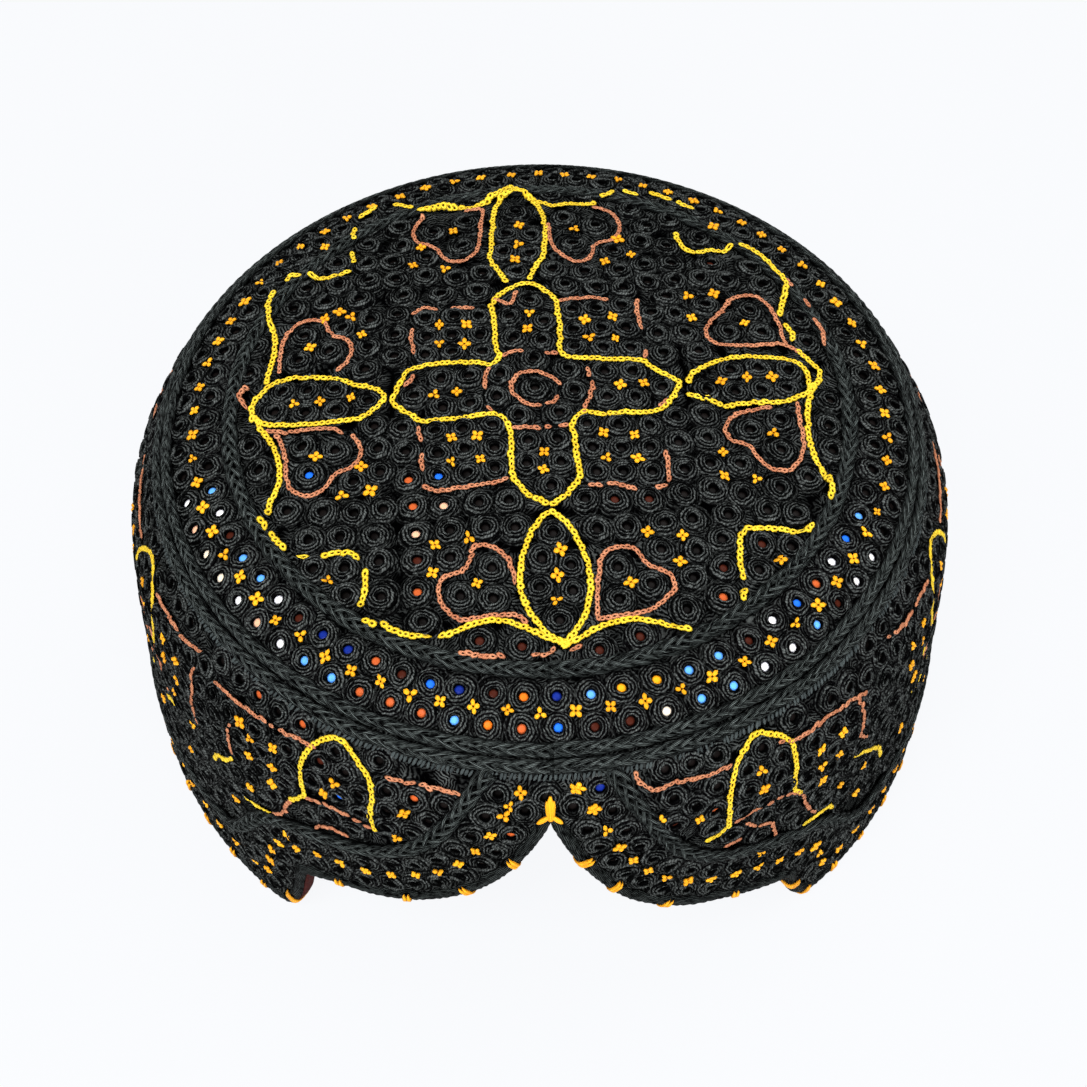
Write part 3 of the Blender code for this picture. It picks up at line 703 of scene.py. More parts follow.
# Painted reflections of the crown's and the wall's mirrors that do not show dark
CROWN_MIRRORS = {(-48.5, -16.5): "blue", (-22.4, -21.2): "blue", (-28.3, -21.1): "copper",
                 (-28.3, -27.5): "copper", (-21.5, -28.4): "peach", (-27.4, -34.4): "peach",
                 (-27.4, -39.4): "umber", (-27.7, -46.7): "copper", (31.9, -52): "copper",
                 (-8.3, -60.1): "umber", (14.5, -59.5): "umber", (6.4, -61.9): "umber",
                 (12.5, -29.4): "umber", (19.6, -29.8): "umber", (41.2, -40.7): "umber",
                 (-16.4, -58.4): "umber", (33.2, -45.8): "umber", (41.4, 36.6): "umber"}
WALL_MIRRORS = {(-26.3, 60): "blue", (-16, 67): "copper", (16, 62): "umber", (19.3, 60.5): "copper",
                (-36, 73): "copper", (-41, 73.5): "copper", (-6.6, 61.5): "copper", (9.6, 45.5): "white",
                (16.5, 44.8): "cream", (20, 38.2): "cream", (5.8, 73.8): "navy", (-30, 69): "umber",
                (-25.5, 44.5): "cream", (-14.7, 44.2): "peach", (23.6, 35.5): "white"}
# Colours of the mirrors' painted reflections; dark is the painted reflection that most mirrors show
MIRROR_REFLECTIONS = {"dark": (0.003, 0.0022, 0.002), "umber": (0.05, 0.010, 0.005), "copper": (0.50, 0.095, 0.022),
         "orange": (0.80, 0.16, 0.01), "amber": (0.95, 0.36, 0.01), "peach": (0.85, 0.46, 0.28),
         "cream": (0.95, 0.80, 0.58), "white": (0.93, 0.90, 0.86), "sky": (0.11, 0.38, 0.95),
         "blue": (0.015, 0.15, 0.80), "navy": (0.006, 0.02, 0.20)}

EYELET_RADIUS = 2.95
CLEAR_OF_LINE = 0.55
CLEAR_OF_CROSS = 1.15
FILL_ROOM = EYELET_RADIUS * 1.72
BRAID_STARTS = 61.6
BRAID_RISE = 1.5


# Zones: each maps a chart's places, and offsets from them in millimetres, to the skin

def on_crown(x, y, dx, dy, dz):
    x, y = x + dx, y + dy
    return place(np.arctan2(x, -y) + CROWN_TURN, up_at_radius(np.hypot(x, y) * MM), dz * MM)


def over_braid(x, y, dx, dy, dz):
    """The crown again, for stitches that run out over its braid."""
    over = np.clip(np.hypot(x + dx, y + dy) - BRAID_STARTS, 0, 1)
    return on_crown(x, y, dx, dy, dz + BRAID_RISE * over)


def on_wall(across, up, dx, dy, dz):
    radius = section(up * MM)[0]
    return place(across * MM / HEM_RADIUS + dx * MM / radius, (up + dy) * MM, dz * MM)


def wall_chart(points):
    """Angle and height turned into distance across and up, in millimetres."""
    points = np.asarray(points, float)
    return np.stack([np.radians(points[:, 0]) * HEM_RADIUS / MM,
                     up_at_height(points[:, 1] * MM) / MM], axis=1)


def spaced(line, pitch):
    """Places at an even pitch along a line, with the line's heading at each."""
    line = np.asarray(line, float)
    reach = lengths_along(line)
    count = max(1, round(reach[-1] / pitch))
    stops = (np.arange(count) + 0.5) * reach[-1] / count
    way = way_at(line, reach, stops, reach[-1] / count / 2)
    return at_reach(line, reach, stops), np.arctan2(way[:, 1], way[:, 0])


def thinned(spots, room):
    """The spots in their order, without those that crowd an earlier one."""
    kept = [0]
    for i in range(1, len(spots)):
        if np.hypot(*(spots[kept] - spots[i]).T).min() > room:
            kept.append(i)
    return spots[kept]


def make_room(spots, held, lines, crosses, rounds):
    """Moves eyelets off each other, off the chain stitch and off the crosses, then drops the crowded."""
    spots = spots.copy()
    for _ in range(rounds):
        push = np.zeros_like(spots)
        away = spots[:, None] - np.vstack([spots, held])[None]
        far = np.hypot(away[..., 0], away[..., 1]) + np.eye(len(spots), len(spots) + len(held)) * 99
        near = np.clip(2 * EYELET_RADIUS - far, 0, None)
        push += (away / far[..., None] * near[..., None] * 0.5).sum(axis=1)
        for marks, room in ((lines, EYELET_RADIUS + CLEAR_OF_LINE),
                            (crosses, EYELET_RADIUS + CLEAR_OF_CROSS)):
            away = spots[:, None] - marks[None]
            far = np.hypot(away[..., 0], away[..., 1]) + 1e-6
            closest = far.argmin(axis=1)
            rows = np.arange(len(spots))
            short = np.clip(room - far[rows, closest], 0, None)
            push += away[rows, closest] / far[rows, closest][:, None] * short[:, None] * 0.8
        spots += np.clip(push, -0.5, 0.5)
    keep = []
    for i, spot in enumerate(spots):
        others = np.vstack([held, spots[keep]]) if keep else held
        gap = np.hypot(*(others - spot).T).min() if len(others) else 99
        line_gap = np.hypot(*(lines - spot).T).min()
        if gap > EYELET_RADIUS * 1.35 and line_gap > EYELET_RADIUS * 0.72:
            keep.append(i)
    return spots[keep]


# Small shapes that are laid many times, in millimetres

def ring_shape(name, outline, steps):
    """A round shape: its outline of (radius, height) spun about its middle."""
    made = bmesh.new()
    verts = [made.verts.new((r, 0, z)) for r, z in outline]
    edges = [made.edges.new(pair) for pair in zip(verts[:-1], verts[1:])]
    bmesh.ops.spin(made, geom=verts + edges, cent=(0, 0, 0), axis=(0, 0, 1), angle=2 * math.pi,
                   steps=steps, use_merge=True)
    bmesh.ops.remove_doubles(made, verts=made.verts, dist=0.0001)
    bmesh.ops.recalc_face_normals(made, faces=made.faces)
    return finished(name, made)


def finished(name, made):
    mesh = bpy.data.meshes.new(name)
    made.to_mesh(mesh)
    made.free()
    return mesh


def copies_of(name, shape, count):
    made = bmesh.new()
    for _ in range(count):
        made.from_mesh(shape)
    return finished(name, made)


def flat_grid(name, columns, rows):
    """A grid, with the shares along its two ways at each of its points."""
    made = bmesh.new()
    bmesh.ops.create_grid(made, x_segments=columns, y_segments=rows, size=0.5)
    mesh = finished(name, made)
    return mesh, points_of(mesh)[:, :2].astype(float).T + 0.5


def points_of(mesh):
    flat = np.zeros(len(mesh.vertices) * 3, np.float32)
    mesh.vertices.foreach_get("co", flat)
    return flat.reshape(-1, 3)


def move_points(mesh, points):
    mesh.vertices.foreach_set("co", points.astype(np.float32).ravel())


def note_on(mesh, name, kind, values):
    """Stores a value at each point for the finishes to read."""
    field = {"FLOAT": "value", "FLOAT_VECTOR": "vector", "FLOAT_COLOR": "color"}[kind]
    mesh.attributes.new(name, kind, "POINT").data.foreach_set(field, values.astype(np.float32).ravel())


def close_seams(mesh, distance, recalculate=False):
    """Merges the points that lie together at seams and poles."""
    made = bmesh.new()
    made.from_mesh(mesh)
    bmesh.ops.remove_doubles(made, verts=made.verts, dist=distance)
    if recalculate:
        bmesh.ops.recalc_face_normals(made, faces=made.faces)
    made.to_mesh(mesh)
    made.free()


def eyelet_shape():
    return ring_shape("eyelet", [(0.88, -0.25), (1.00, 0.75), (1.35, 1.22), (1.75, 0.72), (2.15, 1.08),
                                 (2.52, 0.55), (2.85, 0.70), (3.20, -0.25)], 12)


def whorl_shape():
    """The loose turns of thread round an eyelet."""
    return ring_shape("whorl", [(2.95, -0.2), (3.18, 0.42), (3.42, 0.12), (3.70, 0.36), (4.00, -0.2)], 12)


def mirror_shape():
    return ring_shape("mirror", [(0.0, 0.20), (0.55, 0.18), (1.05, 0.08), (1.05, -0.2), (0.0, -0.2)], 8)


def link_shape():
    """One loop of chain stitch, pointed where it starts."""
    made = bmesh.new()
    ring = bmesh.ops.create_circle(made, segments=4, radius=0.24)["verts"]
    bmesh.ops.rotate(made, verts=ring, cent=(0, 0, 0), matrix=turn_matrix("X", 90))
    bmesh.ops.translate(made, verts=ring, vec=(0.36, 0, 0))
    bmesh.ops.spin(made, geom=made.verts[:] + made.edges[:], cent=(0, 0, 0), axis=(0, 0, 1),
                   angle=2 * math.pi, steps=8, use_merge=True)
    bmesh.ops.remove_doubles(made, verts=made.verts, dist=0.0001)
    for vert in made.verts:
        x, y = vert.co.x, vert.co.y
        vert.co = (x * 1.75 - 0.1, y * (1.0 - 0.35 * x), vert.co.z + 0.26 - 0.16 * x)
    bmesh.ops.recalc_face_normals(made, faces=made.faces)
    return finished("chain_link", made)


def turn_matrix(axis, degrees):
    return Matrix.Rotation(math.radians(degrees), 3, axis)


def cross_shape(petals):
    """A small flower of lazy-daisy petals."""
    made = bmesh.new()
    for k in range(petals):
        petal = bmesh.ops.create_icosphere(made, subdivisions=1, radius=0.5)["verts"]
        bmesh.ops.scale(made, verts=petal, vec=(1.35, 1.02, 0.9))
        bmesh.ops.translate(made, verts=petal, vec=(0.72, 0, 0.45))
        bmesh.ops.rotate(made, verts=petal, cent=(0, 0, 0), matrix=turn_matrix("Z", 360 / petals * k))
    return finished(f"cross_of_{petals}", made)


def stroke_shape():
    """One straight flat stitch, a millimetre long before it is sized."""
    made = bmesh.new()
    petal = bmesh.ops.create_icosphere(made, subdivisions=2, radius=0.5)["verts"]
    bmesh.ops.translate(made, verts=petal, vec=(0, 0, 0.25))
    return finished("stroke", made)


def embroider(name, shape, zone, spots, turns, sizes, finish, lift=0.0, reflections=None):
    """Lays a copy of a small shape at each spot of a zone."""
    count = len(spots)
    mesh = copies_of(name, shape, count)
    own = points_of(shape)[None]
    sized = own * np.asarray(sizes, float).reshape(count, 1, -1)
    cos, sin = np.cos(turns)[:, None], np.sin(turns)[:, None]
    dx = sized[..., 0] * cos - sized[..., 1] * sin
    dy = sized[..., 0] * sin + sized[..., 1] * cos
    move_points(mesh, zone(spots[:, :1], spots[:, 1:2], dx, dy, sized[..., 2] + lift))
    note_on(mesh, "local", "FLOAT_VECTOR", np.repeat(own, count, axis=0))
    note_on(mesh, "tone", "FLOAT", np.repeat(dice.rand(count), own.shape[1]))
    if reflections is not None:
        colours = np.concatenate([reflections, np.ones((count, 1))], axis=1)
        note_on(mesh, "reflection", "FLOAT_COLOR", np.repeat(colours, own.shape[1], axis=0))
    return add_piece(name, mesh, finish)


def add_piece(name, mesh, finish):
    mesh.materials.append(finish)
    mesh.shade_smooth()
    mesh.update()
    piece = bpy.data.objects.new(name, mesh)
    bpy.context.scene.collection.objects.link(piece)
    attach(piece, "root")
    return piece


def lay_eyelets(zone_name, zone, spots, mirrors):
    """Eyelets with a mirror in each; mirrors maps a place to the colour of the painted reflection that its
    mirror shows.
    """
    count = len(spots)
    sizes = dice.normal(1.0, 0.035, (count, 3)).clip(0.9, 1.1)
    turns = dice.uniform(0, 2 * math.pi, count)
    embroider(f"{zone_name}_eyelets", EYELET_SHAPE, zone, spots, turns, sizes, EYELET)
    loose = dice.normal(1.0, 0.07, (count, 3)).clip(0.8, 1.15)
    astray = spots + dice.normal(0, 0.15, spots.shape)
    embroider(f"{zone_name}_whorls", WHORL_SHAPE, zone, astray, turns, loose, EYELET)
    # each dark painted reflection made a random amount darker or lighter
    reflections = np.tile(np.array(MIRROR_REFLECTIONS["dark"]), (count, 1)) * dice.uniform(0.3, 2.2, (count, 1))
    for at, colour in mirrors.items():
        reflections[np.hypot(*(spots - at).T).argmin()] = MIRROR_REFLECTIONS[colour]
    embroider(f"{zone_name}_mirrors", MIRROR_SHAPE, zone, spots, turns, np.ones((count, 3)), MIRROR,
              reflections=reflections)


def lay_chains(name, zone, lines, pitch, width, finish, stray=0.10, missed=0.0):
    spots, turns = [], []
    for line in lines:
        s, t = spaced(smooth_through(line), pitch)
        spots.append(s)
        turns.append(t)
    spots, turns = np.vstack(spots), np.concatenate(turns)
    kept = dice.rand(len(spots)) >= missed
    spots, turns = spots[kept], turns[kept]
    count = len(spots)
    spots = spots + dice.normal(0, stray * 0.6, spots.shape)
    turns = turns + dice.normal(0, stray * 1.4, count)
    sizes = np.stack([dice.normal(1.0, 0.10, count) * pitch / 1.25, dice.normal(width, 0.09, count),
                      dice.normal(1.0, 0.1, count)], axis=1)
    return embroider(name, LINK_SHAPE, zone, spots, turns, sizes, finish, lift=CHAIN_LIFT)


def lay_crosses(name, zone, spots):
    spots = np.asarray(spots, float)
    count = len(spots)
    kinds = np.arange(count) % 4 == 2
    for petals, chosen in ((4, ~kinds), (3, kinds)):
        part = spots[chosen]
        sizes = dice.normal(1.0, 0.14, (len(part), 3)).clip(0.7, 1.3)
        embroider(f"{name}_of_{petals}", CROSS_SHAPES[petals], zone, part,
                  dice.uniform(0, 2 * math.pi, len(part)), sizes, ORANGE, lift=CROSS_LIFT)


EYELET_SHAPE = eyelet_shape()
WHORL_SHAPE = whorl_shape()
MIRROR_SHAPE = mirror_shape()
LINK_SHAPE = link_shape()
STROKE_SHAPE = stroke_shape()
CROSS_SHAPES = {petals: cross_shape(petals) for petals in (3, 4)}
STRANDS = 5
HEM_CORD_RADIUS = 0.0005
CHAIN_LIFT = 0.35
CROSS_LIFT = 0.30
STAR_LIFT = 0.75
SEAM_MERGE = 0.000002


def bent_grid(name, columns, rows, bend, finish, thickness=0.0):
    """A grid whose faces are bent by a function of the shares along its two ways."""
    mesh, shares = flat_grid(name, columns, rows)
    points, local = bend(*shares)
    move_points(mesh, points)
    note_on(mesh, "local", "FLOAT_VECTOR", local)
    close_seams(mesh, SEAM_MERGE)
    piece = add_piece(name, mesh, finish)
    if thickness:
        solid = piece.modifiers.new("thickness", "SOLIDIFY")
        solid.thickness = thickness
        solid.offset = -1
    return piece


# Cloth: the crown, the mirror band and the wall are quilted, with a soft unevenness

# Sewn channels of the crown, in millimetres from its middle across and along
CHANNELS, CHANNEL_WIDTH = (31, 31.5), 1.1


def quilted_crown():
    def bend(turn_share, in_share):
        turn, out_share = turn_share * 2 * math.pi, 1 - in_share
        radius = out_share * (section(CROWN_SEAM + GAP / 2)[0])
        x, y = radius * np.sin(turn - CROWN_TURN) / MM, -radius * np.cos(turn - CROWN_TURN) / MM
        channel = sum(np.exp(-((np.abs(way) - from_middle) / CHANNEL_WIDTH) ** 2)
                      for way, from_middle in zip((x, y), CHANNELS))
        puff = 0.12 * np.cos(x * 0.96) * np.cos(y * 0.96)
        lift = (puff - 0.32 * channel) * np.clip((1 - out_share) * 12, 0, 1) - 0.05
        return place(turn, up_at_radius(radius), lift * MM), np.stack([x, y, lift], axis=1)
    piece = bent_grid("quilted_crown", 144, 48, bend, GROUND, CLOTH)
    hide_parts("crown")


def quilted_band():
    def bend(turn_share, up_share):
        turn = turn_share * 2 * math.pi
        up = SHOULDER_SEAM + GAP / 2 + up_share * (MIRROR_BAND_WIDTH - GAP)
        lift = 0.08 * np.sin(turn * 70) * np.sin(up_share * 9) - 0.05
        return place(turn, up, lift * MM), np.stack([turn, up, lift], axis=1)
    piece = bent_grid("quilted_band", 216, 10, bend, GROUND, CLOTH)
    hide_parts("mirror_band")


def hem_turns(fine, coarse):
    """Angles for a wall's columns, close together along the cut-out."""
    reach = LOBE_ANGLE + FOOT_ANGLE
    front = HEM[np.abs(HEM[:, 0]) <= reach * HEM_RADIUS]
    along = lengths_along(front)
    near = np.interp(np.linspace(0, along[-1], fine + 1), along, front[:, 0]) / HEM_RADIUS
    return np.concatenate([near, np.linspace(reach, 2 * math.pi - reach, coarse + 1)[1:]])


def wall_cloth(name, turns, rows, clear, top, lift, thickness, finish, relief):
    lower = above_hem(turns * HEM_RADIUS, clear)

    def bend(turn_share, up_share):
        at = np.clip(np.round(turn_share * (len(turns) - 1)).astype(int), 0, len(turns) - 1)
        up = lower[at] + (top - lower[at]) * up_share
        high = relief(turns[at], up, up_share)
        return place(turns[at], up, lift + high * MM), np.stack([turns[at], up, high], axis=1)
    return bent_grid(name, len(turns) - 1, rows, bend, finish, thickness)


def quilted_wall():
    def relief(turn, up, share):
        edge = np.clip(share * 20, 0, 1) * np.clip((1 - share) * 20, 0, 1)
        return 0.14 * np.sin(turn * 45) * np.sin(up / MM * 0.52) * edge - 0.05
    piece = wall_cloth("quilted_wall", hem_turns(200, 180), 36, BINDING_WIDTH + GAP, SHOULDER_SEAM - GAP / 2,
                       0.0, CLOTH, GROUND, relief)
    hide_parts("side_wall")


def inner_cap():
    """The lining, loose enough to pucker, with a seam at each quarter."""
    def relief(turn, up, share):
        loose = np.clip(share * 8, 0, 1) * np.clip((1 - share) * 8, 0, 1)
        pucker = 0.30 * np.sin(turn * 23 + 2 * np.sin(up / MM * 0.09)) * np.sin(up / MM * 0.11 + turn * 2)
        seam = np.exp(-((turn + 0.4) % (math.pi / 2) - math.pi / 4) ** 2 / 0.0002)
        return np.minimum(0.0, pucker - 0.25) * loose - 0.35 * seam * loose
    low_row = BINDING_WIDTH + 3 * GAP
    piece = wall_cloth("lining_cloth", hem_turns(120, 132), 56, low_row, CENTRE_UP, -CLOTH - GAP, LINING,
                       LINING_CLOTH, relief)
    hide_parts("lining")


# Braids: cords laid side by side

def plait_strand(name, up_of, radius, sway, length, share, lift, columns, ends=(0.0, 2 * math.pi)):
    """One strand of a four-strand plait that runs along the skin at the height up_of(turn)."""
    closed = ends == (0.0, 2 * math.pi)
    turns = np.linspace(*ends, columns + 1)
    middle = place(turns, up_of(turns), lift)
    run = lengths_along(middle)
    waves = max(1, round(run[-1] / length))
    phase = 2 * math.pi * (waves * run / run[-1] + share)
    wander = 0.12 * np.sin(run / run[-1] * 2 * math.pi * round(run[-1] / 0.047) + 9 * share)
    ahead = np.gradient(middle, run, axis=0)
    if closed:
        ahead[0] = ahead[-1] = (ahead[0] + ahead[-1]) / 2
    out = place(turns, up_of(turns), lift + MM) - middle
    out /= np.linalg.norm(out, axis=1)[:, None]
    side = np.cross(ahead, out)
    side /= np.linalg.norm(side, axis=1)[:, None]
    path = (middle + side * (sway * (np.sin(phase) + wander))[:, None]
            + out * (radius * 0.55 * np.sin(2 * phase + 0.6))[:, None])
    fade = np.ones(len(turns)) if closed else np.clip(np.minimum(run, run[-1] - run) / (2 * radius), 0, 1)

    def bend(along_share, around_share):
        at = np.clip(np.round(along_share * columns).astype(int), 0, columns)
        angle = around_share * 2 * math.pi - math.pi / 2
        reach = (radius * fade[at])[:, None]
        points = path[at] + reach * (np.cos(angle)[:, None] * side[at] + np.sin(angle)[:, None] * out[at])
        # Painted light for the braid finish: 1 on a cord's outer face, less on its under side and where the
        # strand dips under the next
        lit_share = np.clip(np.sin(angle) * 0.9 + 0.25, 0.0, 1) * (0.72 + 0.28 * np.sin(2 * phase[at] + 0.6))
        return points, np.stack([run[at] / MM + 50 * share, around_share * 2, lit_share], axis=1)
    return bent_grid(name, columns, 7, bend, BRAID)


def ring_braids():
    for name, seam, width, rolls, radius, proud in (
            ("inner_braid", CROWN_SEAM, INNER_BRAID_WIDTH, 1, 0.52, 0.75),
            ("outer_braid", SHOULDER_SEAM, OUTER_BRAID_WIDTH, 2, 0.50, 0.95)):
        roll = width / rolls
        for k in range(rolls):
            up = seam + (k - (rolls - 1) / 2) * roll
            for strand in range(STRANDS):
                plait = plait_strand(f"{name}_{k + 1}_strand_{strand + 1}",
                                     lambda turns, up=up: np.full(len(turns), up), radius * MM,
                                     roll / 2 - radius * MM, 0.015, strand / STRANDS, proud * MM, 620)
                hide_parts(name)


def hem_cords():
    ceiling = SHOULDER_SEAM - OUTER_BRAID_WIDTH / 2 - GAP
    fine = np.arange(0, LOBE_ANGLE * HEM_RADIUS, HEM_SAMPLE)
    first, last = [fine[np.argmax(braid_line(side * fine, HEM_BAND_WIDTH) < ceiling - 2 * GAP)] / HEM_RADIUS
                   for side in (1, -1)]

    def up_of(turns):
        middle = braid_line(turns * HEM_RADIUS, HEM_BAND_WIDTH + HEM_BRAID_WIDTH / 2)
        return np.minimum(middle, ceiling + HEM_CORD_RADIUS)
    for strand in range(STRANDS):
        plait = plait_strand(f"hem_braid_strand_{strand + 1}", up_of, HEM_CORD_RADIUS,
                             HEM_BRAID_WIDTH / 2 - HEM_CORD_RADIUS, 0.017, strand / STRANDS, 0.00085, 720,
                             (first, 2 * math.pi - last))
        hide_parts("hem_braid")


# The hem: its binding is followed by its length, because the cut-out's edges stand steep

hem_once = np.vstack([(-HALF, 0.0), HEM[np.abs(HEM[:, 0]) < HALF], (HALF, 0.0)])
HEM_REACH = lengths_along(hem_once)


EDGE_THICKNESS = BINDING_PROUD + CLOTH + GAP + LINING
ROLL_MIDDLE, ROLL_REACH, ROLL_PROUD = 0.00105, 0.00155, 0.0003
LINING_REACH, LINING_PROUD, LINING_EDGE = 0.00182, 0.00045, 0.0003
WHIP_PITCH, WHIP_RADIUS, WHIP_SPREAD = 0.0105, 0.00066, 0.00056


def rounded(wave, power):
    return np.sign(wave) * np.abs(wave) ** power


def rolled(along, angle, reach, proud, tuck=1.0):
    """Points on the edge's roll: at angle 0 they face off the cloth and at 90 degrees outwards."""
    way = way_at(hem_once, HEM_REACH, along, 0.0012)
    way /= np.linalg.norm(way, axis=1)[:, None]
    inward = np.stack([-way[:, 1], way[:, 0]], axis=1)
    inside = ROLL_MIDDLE - reach * rounded(np.cos(angle), 0.8)
    inside = np.where(np.cos(angle) < 0, inside * tuck, inside)
    lift = BINDING_PROUD - EDGE_THICKNESS / 2 + ROLL_PROUD + (EDGE_THICKNESS / 2 + proud) * rounded(
        np.sin(angle), 0.7)
    here = at_reach(hem_once, HEM_REACH, along) + inward * inside[:, None]
    points = place(here[:, 0] / HEM_RADIUS, here[:, 1], lift)
    points[:, 2] = np.maximum(points[:, 2], 0.0)
    return points


def edge_roll(name, along, rows, shape, finish, thickness=0.0):
    """A sheet along the edge; shape gives its angle, reach, proud and shade from two arrays."""
    def bend(along_share, around_share):
        at = along[np.clip(np.round(along_share * (len(along) - 1)).astype(int), 0, len(along) - 1)]
        angle, reach, proud, shade = shape(at, around_share)
        own = np.stack([at / MM, around_share * 6, np.full(len(at), shade)], axis=1)
        return rolled(at, angle, reach, proud), own
    return bent_grid(name, len(along) - 1, rows, bend, finish, thickness)


def bound_edge():
    tip = np.interp(0.0, hem_once[:, 0], HEM_REACH)
    along = np.concatenate([np.linspace(0, tip, 381), np.linspace(tip, HEM_REACH[-1], 381)[1:]])

    def shape(at, around_share):
        ripple = 0.10 * MM * np.sin(at / MM * 2.9 + 0.8 * np.sin(at / MM * 0.37))
        ripple = ripple * np.clip(np.minimum(at, along[-1] - at) / (4 * MM), 0, 1)
        return around_share * 2 * math.pi, ROLL_REACH + ripple, ROLL_PROUD + ripple, 0.45
    piece = edge_roll("bound_edge", along, 14, shape, BRAID)
    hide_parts("hem_binding")


def lining_edge():
    """The lining's turned edge, which shows beside the binding at the wearer's right foot."""
    foot = np.interp([-(LOBE_ANGLE + FOOT_ANGLE) * HEM_RADIUS, -LOBE_ANGLE * HEM_RADIUS],
                     hem_once[:, 0], HEM_REACH)

    def shape(at, around_share):
        return np.radians(176 * around_share - 138), LINING_REACH, LINING_PROUD, 0.0
    edge_roll("lining_edge", np.linspace(foot[0] - 0.003, foot[1], 121), 8, shape, LINING_CLOTH,
              LINING_EDGE)


def whip_stitches():
    """Orange stitches over the binding: charted at the front, then on round at an even pitch."""
    starts = [np.interp(math.radians(a) * HEM_RADIUS, hem_once[:, 0], HEM_REACH) for a in WHIP_STITCHES]
    front, back = max(starts), min(starts)
    starts += list(np.arange(front + WHIP_PITCH, HEM_REACH[-1] - 0.004, WHIP_PITCH))
    starts += list(np.arange(0.004, back - 0.006, WHIP_PITCH))
    shape, (over, round_share) = flat_grid("whip_stitch", 10, 6)
    mesh = copies_of("whip_stitches", shape, 2 * len(starts))
    around = round_share * 2 * math.pi
    points, own = [], []
    for start in starts:
        slant, begin = dice.uniform(-0.0030, 0.0030), dice.uniform(115, 150)
        for side in (-1, 1):
            angle = np.radians(begin - over * (begin + 50 + 8 * side))
            swell = WHIP_RADIUS * np.clip(np.minimum(over, 1 - over) * 5, 0, 1)
            along = (start + side * WHIP_SPREAD * (1 - 0.5 * over) + (over - 0.4) * slant
                     + swell * np.cos(around))
            proud = 0.00015 + swell * 0.5 * np.sin(around)
            points.append(rolled(along, angle, ROLL_REACH + proud, ROLL_PROUD + proud, 1.25))
            # The third value sets the orange finish's painted shade: lit on the stitch's outer side, shaded
            # underneath
            own.append(np.stack([over * 4, np.sin(around), 0.25 + 0.4 * np.sin(around)], axis=1))
    move_points(mesh, np.vstack(points))
    note_on(mesh, "local", "FLOAT_VECTOR", np.vstack(own))
    close_seams(mesh, 0.000005, recalculate=True)
    add_piece("whip_stitches", mesh, ORANGE)


# Each stroke's place from the notch's tip, its heading in degrees, its length and its width
NOTCH_STROKES = [(0.0, 3.4, 90, 6.2, 1.5), (-0.5, 2.9, 97, 5.0, 1.0), (0.5, 2.9, 84, 5.0, 1.0),
                 (-1.5, 0.9, 35, 3.2, 1.1), (1.4, 0.9, 140, 2.9, 1.0)]


def notch_star():
    strokes = np.array(NOTCH_STROKES)
    sizes = np.column_stack([strokes[:, 3:], np.ones(len(strokes))])
    embroider("notch_star", STROKE_SHAPE, on_wall, strokes[:, :2] + (0, NOTCH_UP / MM),
              np.radians(strokes[:, 2]), sizes, ORANGE, lift=STAR_LIFT)


def tick_strip():
    """Short black stitches side by side under the outer braid."""
    count = 560
    across = (np.arange(count) + dice.uniform(-0.2, 0.2, count)) * ONCE_ROUND / MM / count
    up = (SHOULDER_SEAM - OUTER_BRAID_WIDTH / 2) / MM - 0.75 + dice.normal(0, 0.08, count)
    turns = np.radians(dice.normal(72, 9, count))
    sizes = np.stack([dice.normal(size, spread, count)
                      for size, spread in ((1.9, 0.2), (0.62, 0.06), (0.9, 0.1))], axis=1)
    embroider("tick_strip", STROKE_SHAPE, on_wall, np.stack([across, up], axis=1), turns, sizes, BLACK_CHAIN)


# Embroidery, zone by zone

def fill_gaps(spots, tries, held, lines, crosses):
    """Adds an eyelet wherever one still fits."""
    for marks, room in ((held, FILL_ROOM), (spots, FILL_ROOM), (lines, 2.1), (crosses, 2.3)):
        away = tries[:, None] - marks[None]
        tries = tries[np.hypot(away[..., 0], away[..., 1]).min(axis=1) > room]
    added = []
    while len(tries):
        added.append(tries[0])
        tries = tries[np.hypot(*(tries - tries[0]).T) > FILL_ROOM]
    return np.vstack([spots] + added)


def embroider_crown():
    lines = [smooth_through(line) for line in YELLOW_CROWN + COPPER_CROWN]
    marks = np.vstack([spaced(line, 0.8)[0] for line in lines])
    crosses = np.array(CROWN_CROSSES, float)
    spots = make_room(np.array(CROWN_EYELETS, float), np.zeros((0, 2)), marks, crosses, 14)
    lay_eyelets("crown", on_crown, spots, CROWN_MIRRORS)
    lay_chains("crown_yellow_chain", over_braid, YELLOW_CROWN, 1.25, 1.14, YELLOW, 0.15)
    lay_chains("crown_copper_chain", over_braid, COPPER_CROWN, 1.15, 0.90, COPPER, 0.14)
    lay_crosses("crown_cross", over_braid, CROWN_CROSSES)


